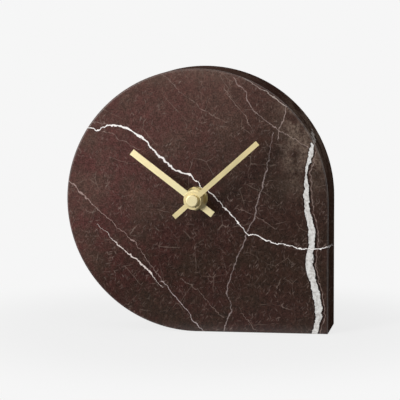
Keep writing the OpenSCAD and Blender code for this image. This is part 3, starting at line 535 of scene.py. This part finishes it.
# The washer: a flat ring of brass that spreads the nut's pressure over the mouth of the bore. It is parted
# off a bar, with its edges broken as the lathe leaves them.
washer_low, washer_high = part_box("brass_washer")
washer_ease = 0.14 * mm
thread_r = 4 * mm
clear = 0.1 * mm
round_sides = 96


def ring(outer_r, inner_r, y0, y1):
    """Adds a ring on the hub's axis: two circles bridged, then drawn back to its thickness."""
    place = {"location": (0, y0, hub_z), "rotation": facing}
    bpy.ops.mesh.primitive_circle_add(vertices=round_sides, radius=outer_r, **place)
    bpy.ops.object.transform_apply()
    bpy.ops.object.mode_set(mode="EDIT")
    bpy.ops.mesh.primitive_circle_add(vertices=round_sides, radius=inner_r, **place)
    bpy.ops.mesh.select_all(action="SELECT")
    bpy.ops.mesh.bridge_edge_loops()
    bpy.ops.mesh.select_all(action="SELECT")
    draw_out(y=y1 - y0)
    turn_outwards()
    bpy.ops.object.mode_set(mode="OBJECT")
    return bpy.context.object


def shades(colour, *levels):
    """A hex code's linear colour, darkened or lightened to each level."""
    return [[min(c * level, 1) for c in srgb(colour)[:3]] + [1] for level in levels]


def brushed(name, colour, roughness, turn=0.0, grain=0.16, length=6.0, depth=0.012):
    """A metal drawn over an abrasive belt: fine lines run along Z, or along Z turned about Y.

    Grain and length are one scratch's width and length in millimetres, and depth is how deep it is cut."""
    material, tree, shader, place = blank(name, colour, roughness, metallic=1.0)
    upright = add(tree, "VectorRotate", {
        "Vector": place, "Axis": (0, 1, 0), "Angle": -turn
    }, rotation_type="AXIS_ANGLE")
    lie = add(tree, "Mapping", {
        "Vector": upright, "Scale": (1 / grain / mm, 1 / grain / mm, 1 / length / mm)
    })
    lines = add(tree, "TexNoise", {"Vector": lie, "Scale": 1.0, "Detail": 4.0, "Roughness": 0.6})
    worn = add(tree, "TexNoise", {"Vector": upright, "Scale": 1 / (7 * mm), "Detail": 3.0})
    share = add(tree, "Math", {0: lines, 1: worn}, operation="ADD")
    share = add(tree, "MapRange", {"Value": share, "From Min": 0.75, "From Max": 1.2})
    dull = add(tree, "MapRange", {"Value": share, "To Min": roughness + 0.08, "To Max": roughness - 0.06})
    surface(tree, shader, share, shades(colour, 0.86, 1.08), lines, 0.6, depth, dull)
    return material


# Cartridge brass, turned, then rubbed with fine paper: warm and half dull
clamp_brass = brushed("turned_brass", "#ecdca4", 0.42, grain=0.3, length=1.2, depth=0.01)
washer = ring((washer_high.x - washer_low.x) / 2, thread_r + clear, washer_low.y, washer_high.y)
finish(washer, "washer", washer_ease)
washer.data.materials.append(clamp_brass)
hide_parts("brass_washer")
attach(washer, "clock_body")

# The clamp nut: hexagonal bar brass, drilled, tapped and chamfered in front. It pulls the movement's flange
# and the rubber ring against the floor of the pocket.
nut_low, nut_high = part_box("clamp_nut")
nut_corner_r = (nut_high.z - nut_low.z) / 2
nut_chamfer = 0.62 * mm
nut_ease = 0.1 * mm
thread_play = 0.02 * mm


def bar(radius, y0, y1, sides=round_sides):
    """Adds a bar on the hub's axis between two depths."""
    bpy.ops.mesh.primitive_cylinder_add(
        vertices=sides, radius=radius, depth=y1 - y0, location=(0, (y0 + y1) / 2, hub_z), rotation=facing
    )
    bpy.ops.object.transform_apply()
    return bpy.context.object


def combine(piece, tool, operation):
    """Cuts a tool out of a piece, or joins or crosses the two, and drops the tool."""
    change = piece.modifiers.new("combine", "BOOLEAN")
    change.operation = operation
    change.solver = "EXACT"
    change.object = tool
    bpy.context.view_layer.objects.active = piece
    bpy.ops.object.modifier_apply(modifier=change.name)
    bpy.data.meshes.remove(tool.data)


nut = bar(nut_corner_r, nut_low.y, nut_high.y, sides=6)
chamfered = bar(nut_corner_r, nut_low.y, nut_high.y + mm)
bpy.ops.object.mode_set(mode="EDIT")
pick("EDGE", lambda at, turn: turn > sharp_turn and at.y < nut_low.y + tiny)
bpy.ops.mesh.bevel(offset=nut_chamfer, segments=1, affect="EDGES")
bpy.ops.object.mode_set(mode="OBJECT")
combine(nut, chamfered, "INTERSECT")
combine(nut, bar(thread_r + thread_play, nut_low.y - mm, nut_high.y + mm), "DIFFERENCE")
finish(nut, "nut", nut_ease, 2, angle=24, smooth=34)
nut.data.materials.append(clamp_brass)
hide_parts("clamp_nut")
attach(nut, "clock_body")

# The bushing: a brass tube with a rolled thread, its flange seated in the front of the movement's case. It
# leads the pipes of the hands through the stone, and takes the nut.
bushing_low, bushing_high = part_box("threaded_bushing")
flange_r = (bushing_high.x - bushing_low.x) / 2
flange_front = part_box("front_case")[0].y
flange_t = 0.6 * mm
pipe_bore_r = 2.61 * mm
root_r = thread_r - 0.4 * mm
thread_pitch = 0.75 * mm
thread_lead = 0.35 * mm
thread_turns = int((flange_front - bushing_low.y - thread_lead) / thread_pitch) - 1
thread_sides = 40
bushing_ease = 0.08 * mm

bushing = ring(root_r, pipe_bore_r, bushing_low.y, bushing_high.y)
flange = ring(flange_r, root_r - clear, flange_front, flange_front + flange_t)
for part in (bushing, flange):
    finish(part, "bushing_part", bushing_ease, 2)

# One turn's V, drawn round and along by its pitch for each turn, and closed at both ends
bpy.ops.mesh.primitive_circle_add(vertices=3, radius=1)
ridge = bpy.context.object
section = ((root_r - clear, thread_pitch / 2), (thread_r, 0), (root_r - clear, -thread_pitch / 2))
for vertex, (off, along) in zip(ridge.data.vertices, section):
    vertex.co = (off, 0, along)
wind = ridge.modifiers.new("wind", "SCREW")
wind.axis = "Z"
wind.angle = 2 * math.pi
wind.screw_offset = thread_pitch
wind.iterations = thread_turns
wind.steps = wind.render_steps = thread_sides
wind.use_smooth_shade = True
bpy.ops.object.modifier_apply(modifier=wind.name)
bpy.ops.object.mode_set(mode="EDIT")
bpy.ops.mesh.select_all(action="SELECT")
bpy.ops.mesh.fill_holes(sides=3)
turn_outwards()
bpy.ops.object.mode_set(mode="OBJECT")
ridge.rotation_euler = (-math.pi / 2, 0, 0)
ridge.location = (0, bushing_low.y + thread_lead + thread_pitch / 2, hub_z)
bpy.ops.object.transform_apply()


def gather(whole, parts):
    """Joins finished parts that are one piece in the real object, and leaves that piece active."""
    bpy.ops.object.select_all(action="DESELECT")
    for part in parts:
        part.select_set(True)
    whole.select_set(True)
    bpy.context.view_layer.objects.active = whole
    bpy.ops.object.join()
    bpy.ops.object.select_all(action="DESELECT")


gather(bushing, [flange, ridge])
bushing.name = "bushing"
bushing.data.materials.append(clamp_brass)
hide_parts("threaded_bushing")
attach(bushing, "clock_body")

# The rubber ring: stamped from black EPDM sheet, it keeps the case from marking the stone and from turning.
# The solid's plain ring is the real shape; the sheet is dull, with a fine cloth-like tooth.
epdm, tree, shader, place = blank("stamped_epdm_rubber", "#1b1b1c", 0.82, shine=0.35)
tooth = add(tree, "TexNoise", {"Vector": place, "Scale": 1 / (0.3 * mm), "Detail": 3.0})
bloom = add(tree, "TexNoise", {"Vector": place, "Scale": 1 / (4 * mm), "Detail": 4.0})
surface(tree, shader, bloom, ("#151516", "#29292a"), tooth, strength=0.5, depth=0.04)


def dress(material, *nodes):
    """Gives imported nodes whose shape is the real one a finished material."""
    for node in nodes:
        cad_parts[node].material_slots[0].material = material


dress(epdm, "rubber_gasket")

# The movement's case: a front shell and a rear cover of black ABS, injection moulded in a spark-eroded tool,
# which gives them an even satin grain. The cover's four tongues snap into windows in the shell's walls.
case_ease = 0.3 * mm
merge_reach = 0.001 * mm
flat_within = math.radians(0.5)


def moulded(name, colour, roughness, grain=0.28, depth=0.02, shine=0.5, under=0.0):
    """A moulded plastic, its grain's size and depth in millimetres. Under is how much light it scatters."""
    material, tree, shader, place = blank(name, colour, roughness, shine=shine)
    shader.inputs["Subsurface Weight"].default_value = under
    shader.inputs["Subsurface Scale"].default_value = 0.6 * mm
    pits = add(tree, "TexVoronoi", {"Vector": place, "Scale": 1 / (grain * mm)}, feature="SMOOTH_F1")
    flow = add(tree, "TexNoise", {"Vector": place, "Scale": 1 / (9 * mm), "Detail": 3.0})
    dull = add(tree, "MapRange", {"Value": flow, "To Min": roughness - 0.07, "To Max": roughness + 0.07})
    surface(tree, shader, flow, shades(colour, 0.85, 1.15), pits, 0.6, depth, dull)
    return material


def merge(piece):
    """Merges a piece's doubled points and clears the lines across its flat faces."""
    bpy.ops.object.select_all(action="DESELECT")
    piece.select_set(True)
    bpy.context.view_layer.objects.active = piece
    bpy.ops.object.mode_set(mode="EDIT")
    bpy.ops.mesh.select_all(action="SELECT")
    bpy.ops.mesh.remove_doubles(threshold=merge_reach)
    bpy.ops.mesh.dissolve_limited(angle_limit=flat_within)
    bpy.ops.object.mode_set(mode="OBJECT")


def softened(node, name, ease):
    """Copies a node's mesh and rounds its sharp edges."""
    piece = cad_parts[node].copy()
    piece.data = piece.data.copy()
    piece.data.materials.clear()
    bpy.context.collection.objects.link(piece)
    merge(piece)
    finish(piece, name, ease, 2, angle=50)
    return piece


abs_plastic = moulded("moulded_black_abs", "#1c1c1e", 0.46)
for node, name in (("front_case", "case_front"), ("rear_cover", "case_cover")):
    shell = softened(node, name, case_ease)
    shell.data.materials.append(abs_plastic)
    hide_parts(node)
    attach(shell, "clock_body")

# The gear plate and the wheels: white acetal, moulded to size. It is slightly translucent and waxy, with a
# shallower grain than the case. The plate's four holes seat on the pegs of the front shell.
acetal = moulded("moulded_white_acetal", "#e6e4da", 0.38, grain=0.5, depth=0.006, under=0.12)
dress(
    acetal, "gear_plate", "hour_wheel", "motion_wheel", "minute_wheel", "third_wheel", "seconds_wheel",
    "intermediate_wheel", "coil_bobbin", "setting_pinion"
)

# The rotor: a ring of sintered ferrite, pressed on a pinion of black acetal. The ferrite is dull and
# granular, as the press and the grinding wheel leave it. The acetal has a low waxy gloss.
black_acetal = moulded("moulded_black_acetal", "#232326", 0.34, grain=0.4, depth=0.006)
dress(black_acetal, "rotor_pinion")
ferrite, tree, shader, place = blank("sintered_ferrite", "#3a3a3d", 0.6, shine=0.6)
grains = add(tree, "TexVoronoi", {"Vector": place, "Scale": 1 / (0.12 * mm)})
surface(tree, shader, grains.outputs["Color"], ("#2b2b2e", "#4c4c50"), grains, strength=0.5, depth=0.02)
dress(ferrite, "rotor_magnet")

# The stator and the coil's core: punched from annealed soft iron sheet. They carry the coil's field round the
# rotor, and are grey, with the faint lines of the rolling mill.
iron = brushed("rolled_soft_iron", "#8b8b8e", 0.4, turn=math.pi / 2, grain=0.12, length=9, depth=0.006)
dress(iron, "stator", "coil_core")

# The coil: enamelled copper wire, wound on the bobbin in level layers. The real wire is under 0.03 mm thick,
# so its turns are drawn 0.3 mm apart to show, each painted pale along its crest and dark between turns: a
# painted highlight and painted shade.
turn_pitch = 0.3 * mm
wave_period = 0.314  # the wave texture's own, at scale 1
copper, tree, shader, place = blank("enamelled_copper_wire", "#b5602f", 0.28, metallic=1.0)
turn_ridges_and_highlights = add(tree, "TexWave", {
    "Vector": place, "Scale": wave_period / turn_pitch, "Distortion": 0.4, "Detail": 1.0
}, wave_type="BANDS", bands_direction="X", wave_profile="SIN")
# Dark between turns, pale on their crests: painted shade and painted highlight
surface(tree, shader, turn_ridges_and_highlights, ("#6e3216", "#c8713a"), turn_ridges_and_highlights, strength=0.8, depth=0.08)
dress(copper, "coil_winding")

# The circuit board: glass and epoxy laminate under a green solder mask, through which the etched copper
# tracks show paler. The tracks are 0.8 mm wide and 2.6 mm apart, and run along and across it in blocks.
track_pitch = 2.6 * mm
track_w = 0.8 * mm
track_edge = 0.08 * mm
laminate, tree, shader, place = blank("green_masked_laminate", "#1f5a34", 0.3)
board = add(tree, "SeparateXYZ", {"Vector": place})
blocks = add(tree, "TexVoronoi", {"Vector": place, "Scale": 1 / (5 * mm)}, distance="CHEBYCHEV")
block = add(tree, "SeparateColor", {"Color": blocks.outputs["Color"]})
turned = add(tree, "Math", {0: block.outputs[0], 1: 0.5}, operation="GREATER_THAN")
lane = add(tree, "Mix", {"Factor": turned, "A": board.outputs[0], "B": board.outputs[2]})
lane = add(tree, "Math", {0: lane, 1: track_pitch / 2}, operation="PINGPONG")
track = add(tree, "MapRange", {
    "Value": lane, "From Min": (track_w - track_edge) / 2, "From Max": (track_w + track_edge) / 2,
    "To Min": 1.0, "To Max": 0.0
})
weave = add(tree, "TexNoise", {"Vector": place, "Scale": 1 / (0.5 * mm), "Detail": 2.0})
ground = add(tree, "Mix", {"Factor": weave, "A": "#194b2b", "B": "#24663c"}, data_type="RGBA")
surface(tree, shader, track, (ground, "#4c9459"), track, strength=0.7, depth=0.035)
dress(laminate, "circuit_board")

# The crystal's drawn can and the battery's contacts, bent from spring sheet. All are plated with bright
# nickel, which is warm grey and glossy, and shows faint rolling lines.
nickel = brushed("bright_nickel_plate", "#c9c5bc", 0.2, turn=math.pi / 2, grain=0.1, length=3, depth=0.003)
dress(nickel, "quartz_crystal", "positive_contact", "negative_contact")

# The drop over the chip: black epoxy resin, poured on to the board and cured to seal the bare chip. Its skin
# is glossy and gently uneven.
resin, tree, shader, place = blank("poured_black_epoxy", "#131313", 0.16)
skin = add(tree, "TexNoise", {"Vector": place, "Scale": 1 / (1.4 * mm), "Detail": 2.0})
surface(tree, shader, skin, ("#0e0e0e", "#1c1b1a"), skin, strength=0.35, depth=0.1)
dress(resin, "chip_cover")

# The battery: a nickel-plated steel can in a shrunk printed sleeve, with the positive button at the right and
# a flat end at the left. The sleeve folds over both shoulders and leaves the ends of the can bare.
cell_low, cell_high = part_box("aa_battery")
cell_r = (cell_high.z - cell_low.z) / 2
cell_mid = (cell_low + cell_high) / 2
button_r = 2.75 * mm
button_h = 1 * mm
shoulder_ease = 0.7 * mm
cell_ease = 0.12 * mm
sleeve_lap = 0.9 * mm
sleeve_t = 0.2 * mm
groove_t = 0.25 * mm
groove_w = 0.8 * mm
band_w = 9 * mm
stripe_gap = 1.2 * mm
stripe_w = 0.7 * mm
end_on = 0.9
bpy.ops.mesh.primitive_cylinder_add(
    vertices=round_sides, radius=cell_r, depth=cell_high.x - cell_low.x - button_h,
    location=cell_mid - Vector((button_h / 2, 0, 0)), rotation=(0, math.pi / 2, 0)
)
bpy.ops.object.transform_apply()
cell = bpy.context.object
bpy.ops.object.mode_set(mode="EDIT")
# Positive end: the sleeve's lip, the bare step of the can, then the button drawn out of it
pick("FACE", lambda at, normal: normal.x > end_on)
bpy.ops.mesh.inset(thickness=sleeve_lap + shoulder_ease)
draw_out(x=-sleeve_t)
bpy.ops.mesh.inset(thickness=cell_r - sleeve_lap - shoulder_ease - button_r)
draw_out(x=sleeve_t + button_h)
# Negative end: the lip, a pressed ring, and the flat that the contact leaf meets
pick("FACE", lambda at, normal: normal.x < -end_on)
bpy.ops.mesh.inset(thickness=sleeve_lap + shoulder_ease)
draw_out(x=groove_t)
bpy.ops.mesh.inset(thickness=groove_w)
draw_out(x=-groove_t)
pick("EDGE", lambda at, turn: (
    turn > sharp_turn and math.hypot(at.y - cell_mid.y, at.z - cell_mid.z) > cell_r - tiny
))
bpy.ops.mesh.bevel(offset=shoulder_ease, segments=5, affect="EDGES")
bpy.ops.object.mode_set(mode="OBJECT")
finish(cell, "battery_cell", cell_ease)

# Printed PVC film: slate grey with a pale band and a pale stripe at the positive end, glossy, and faintly
# rippled by the heat that shrank it. The can's bare ends are bright plate with short rubbing lines.
sleeve, tree, shader, place = blank("printed_pvc_sleeve", "#3d454b", 0.22)
spot = add(tree, "SeparateXYZ", {"Vector": place})
band_x = cell_high.x - button_h - band_w
band = add(tree, "Math", {0: spot.outputs[0], 1: band_x}, operation="GREATER_THAN")
stripe = add(tree, "Math", {0: spot.outputs[0], 1: band_x - stripe_gap}, operation="SUBTRACT")
stripe = add(tree, "Math", {0: stripe, 1: 0.0, 2: stripe_w / 2}, operation="COMPARE")
printed = add(tree, "Math", {0: band, 1: stripe}, operation="MAXIMUM")
film = add(tree, "TexNoise", {"Vector": place, "Scale": 1 / (3 * mm), "Detail": 3.0})
dark = add(tree, "Mix", {"Factor": film, "A": "#353c42", "B": "#464f56"}, data_type="RGBA")
pale = add(tree, "Mix", {"Factor": film, "A": "#b9bcbd", "B": "#cdd0d1"}, data_type="RGBA")
along = add(tree, "Mapping", {"Vector": place, "Scale": (1 / (1.2 * mm), 1 / (6 * mm), 1 / (6 * mm))})
ripple = add(tree, "TexNoise", {"Vector": along, "Scale": 1.0, "Detail": 2.0})
surface(tree, shader, printed, (dark, pale), ripple, strength=0.25, depth=0.08)
cell.data.materials.append(sleeve)
cell.data.materials.append(brushed("plated_steel_can", "#cfcdc8", 0.24, grain=0.2, length=2, depth=0.004))
for face in cell.data.polygons:
    out = math.hypot(face.center.y - cell_mid.y, face.center.z - cell_mid.z)
    face.material_index = 0 if out > cell_r - sleeve_lap - shoulder_ease - tiny else 1
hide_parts("aa_battery")
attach(cell, "clock_body")

# The setting knob: a knurled wheel and its shaft in one moulding of black acetal. It stands behind the cover,
# and its shaft carries the pinion that turns the motion wheel, and the hands with it.
knob_ease = 0.13 * mm
knob = softened("setting_knob", "knurled_knob", knob_ease)
knob.data.materials.append(moulded("satin_black_acetal", "#1f1f22", 0.36, grain=0.35, depth=0.01))
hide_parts("setting_knob")
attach(knob, "setting")

# The hour hand: a baton and hub stamped in one from brass sheet, brushed along its length and lacquered, with
# a collet riveted behind it that pushes on to the hour pipe. Its edges are rounded and painted a paler brass,
# a painted highlight, and its brass is painted a shade paler than the minute hand's, as painted light.
sheet_t = 0.6 * mm
hub_sides = 128
hour_hub_r = 5.3 * mm
hour_front, hour_back = (corner.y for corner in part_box("hour_hand"))
hour_angle = math.radians(-52.8)
hour_tip = 41.3 * mm
hour_tail = 12.7 * mm
hour_w = 3.4 * mm
pipe_r = 2.55 * mm
collet_wall = 0.8 * mm
hand_ease = 0.26 * mm
collet_ease = 0.1 * mm
flat_on = 0.99


def stamped_hand(name, front_y, angle, tip, tail, width, hub_r, bore):
    """Stamps a hand: a hub disc with a bore, and a baton laid across it at the hand's angle from twelve."""
    hand = bar(hub_r, front_y, front_y + sheet_t, hub_sides)
    way = Vector((math.sin(angle), 0, math.cos(angle)))
    middle = hub + (tip - tail) / 2 * way
    bpy.ops.mesh.primitive_cube_add(
        size=1, location=(middle.x, front_y + sheet_t / 2, middle.z), rotation=(0, angle, 0),
        scale=(width, sheet_t, tip + tail)
    )
    bpy.ops.object.transform_apply()
    combine(hand, bpy.context.object, "UNION")
    combine(hand, bar(bore, front_y - mm, front_y + mm), "DIFFERENCE")
    merge(hand)
    finish(hand, name, hand_ease, 2)
    # Faces off the flat of the sheet, the rounded edges, take the second material: a painted highlight
    for face in hand.data.polygons:
        face.material_index = int(abs(face.normal.y) < flat_on)
    return hand


collet_r = pipe_r + thread_play
hour_hand = stamped_hand(
    "hour_baton", hour_front, hour_angle, hour_tip, hour_tail, hour_w, hour_hub_r, collet_r
)
collet = ring(collet_r + collet_wall, collet_r, hour_front + sheet_t, hour_back)
finish(collet, "collet", collet_ease, 2)
gather(hour_hand, [collet])
# Pale brass for the hands' rounded edges: a painted highlight
painted_edge_highlight = brushed("brass_edge_painted_highlight", "#fff6d6", 0.55, grain=0.3, length=0.6, depth=0.006)
# The hour hand's brass is painted paler than the minute hand's: painted light
hour_hand.data.materials.append(brushed("brushed_brass_painted_lighter", "#fdecbc", 0.5, turn=hour_angle, length=9))
hour_hand.data.materials.append(painted_edge_highlight)
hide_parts("hour_hand")
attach(hour_hand, "hour")

# The minute hand: the same sheet, longer and narrower, with a small boss behind its hub that seats on the
# shoulder of the minute arbor. Its brass is painted a shade darker and warmer than the hour hand's, as
# painted shade, and its rounded edges have the same painted highlight.
minute_front, minute_back = (corner.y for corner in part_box("minute_hand"))
minute_angle = math.radians(48.3)
minute_tip = 46 * mm
minute_tail = 13.2 * mm
minute_w = 2.7 * mm
minute_hub_r = 4.65 * mm
spigot_bore_r = 1.4 * mm + thread_play
boss_r = 2.7 * mm
minute_hand = stamped_hand(
    "minute_baton", minute_front, minute_angle, minute_tip, minute_tail, minute_w, minute_hub_r, spigot_bore_r
)
boss = ring(boss_r, spigot_bore_r, minute_front + sheet_t, minute_back)
finish(boss, "boss", collet_ease, 2)
gather(minute_hand, [boss])
# The minute hand's brass is painted darker than the hour hand's: painted shade
minute_hand.data.materials.append(brushed("brushed_brass_painted_darker", "#f9e6b0", 0.46, turn=minute_angle, length=9))
minute_hand.data.materials.append(painted_edge_highlight)
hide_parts("minute_hand")
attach(minute_hand, "minute")

# The cap nut: turned brass, closed in front, pushed on to the arbor's spigot over the minute hand. Its flat
# face and rounded edge are as the lathe left them, and it sits on the hub with a fine dark line round it.
cap_low, cap_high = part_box("cap_nut")
cap_r = (cap_high.x - cap_low.x) / 2
cap_ease = 0.5 * mm
cap_foot = 0.3 * mm
cap_back_ease = 0.08 * mm
cap = bar(cap_r, cap_low.y, cap_high.y - cap_foot)
bpy.ops.object.mode_set(mode="EDIT")
pick("EDGE", lambda at, turn: turn > sharp_turn and at.y < cap_low.y + tiny)
bpy.ops.mesh.bevel(offset=cap_ease, segments=5, affect="EDGES")
# Foot: the back is drawn out narrower, so that a shadow line shows between the cap and the hub
pick("FACE", lambda at, normal: normal.y > end_on)
bpy.ops.mesh.inset(thickness=cap_foot)
draw_out(y=cap_foot)
bpy.ops.object.mode_set(mode="OBJECT")
combine(cap, bar(spigot_bore_r, (cap_low.y + cap_high.y) / 2, cap_high.y + mm), "DIFFERENCE")
finish(cap, "round_cap", cap_back_ease, 2)
cap.data.materials.append(brushed("turned_cap_brass", "#f9eabb", 0.5, grain=0.25, length=1.5, depth=0.008))
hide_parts("cap_nut")
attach(cap, "minute")

# Studio: a pale floor that fades into an equally pale surround. Seen straight on or in a reflection it is a
# flat light grey, dimmer in front, and everywhere else it is matt card that keeps the clock's soft shadow.
backdrop = "#f6f6f6"
floor_r = 0.5
floor_drop = 0.2 * mm
bpy.ops.mesh.primitive_circle_add(
    vertices=round_sides, radius=floor_r, fill_type="NGON", location=(0, 0, -floor_drop)
)
bpy.ops.object.transform_apply()
floor = bpy.context.object
floor.name = "floor"
material, tree, shader, place = blank("pale_card", backdrop, 0.9, shine=0.1)
reach = add(tree, "VectorMath", {0: place}, operation="LENGTH")
card = add(tree, "MapRange", {
    "Value": reach.outputs["Value"], "From Min": 0.08, "From Max": 0.2, "To Min": 0.15, "To Max": 0.0
}, **soft_step)
path = add(tree, "LightPath", {})
mirrored = add(tree, "Math", {
    0: path.outputs["Is Glossy Ray"], 1: path.outputs["Is Transmission Ray"]
}, operation="MAXIMUM")
seen = add(tree, "Math", {0: path.outputs["Is Camera Ray"], 1: mirrored}, operation="MAXIMUM")
share = add(tree, "Math", {0: 1.0, 1: card}, operation="SUBTRACT")
share = add(tree, "Math", {0: seen, 1: share}, operation="MULTIPLY")
forward = add(tree, "SeparateXYZ", {"Vector": place})
dimmer = add(tree, "MapRange", {
    "Value": forward.outputs[1], "From Min": -0.045, "From Max": -0.009, "To Min": 0.04, "To Max": 0.9
}, **soft_step)
strength = add(tree, "Mix", {"Factor": mirrored, "A": 1.0, "B": dimmer})
glow = add(tree, "Emission", {"Color": backdrop, "Strength": strength})
both = add(tree, "MixShader", {0: share, 1: shader, 2: glow})
tree.links.new(both.outputs[0], tree.nodes["Material Output"].inputs["Surface"])
floor.data.materials.append(material)

# Surround: pale to the camera, a dim even fill for matt surfaces, and for gloss a bright room that is darker
# in front, where the photographer stood, so that the polished face keeps its depth.
world = bpy.data.worlds.new("studio")
bpy.context.scene.world = world
world.use_nodes = True
tree = world.node_tree
tree.nodes.clear()
way = add(tree, "TexCoord", {}).outputs["Generated"]
forward = add(tree, "VectorMath", {0: way, 1: (0, -1, 0)}, operation="DOT_PRODUCT")
room = add(tree, "MapRange", {
    "Value": forward.outputs["Value"], "From Min": 0.3, "From Max": 0.93, "To Min": 0.9, "To Max": 0.12
}, **soft_step)
path = add(tree, "LightPath", {})
fill_level = 0.34
mirrored = add(tree, "Math", {
    0: path.outputs["Is Glossy Ray"], 1: path.outputs["Is Transmission Ray"]
}, operation="MAXIMUM")
strength = add(tree, "Mix", {"Factor": mirrored, "A": fill_level, "B": room})
strength = add(tree, "Mix", {"Factor": path.outputs["Is Camera Ray"], "A": strength, "B": 1.0})
sky = add(tree, "Background", {"Color": backdrop, "Strength": strength})
add(tree, "OutputWorld", {"Surface": sky})


def lamp(name, azimuth, elevation, distance, size, power):
    """Adds a square soft light that faces the clock."""
    way = bearing(azimuth, elevation)
    bpy.ops.object.light_add(type="AREA", location=hub + distance * way)
    light = bpy.context.object
    light.name = name
    light.data.shape = "SQUARE"
    light.data.size = size
    light.data.energy = power
    light.rotation_mode = "QUATERNION"
    light.rotation_quaternion = (-way).to_track_quat("-Z", "Y")


# Key light from the left, as the shadows of the hands show, and a weak broad fill from the right
lamp("key_light", azimuth=-36, elevation=14, distance=1.2, size=0.42, power=11.5)
lamp("fill_light", azimuth=45, elevation=25, distance=1.6, size=1.2, power=3)
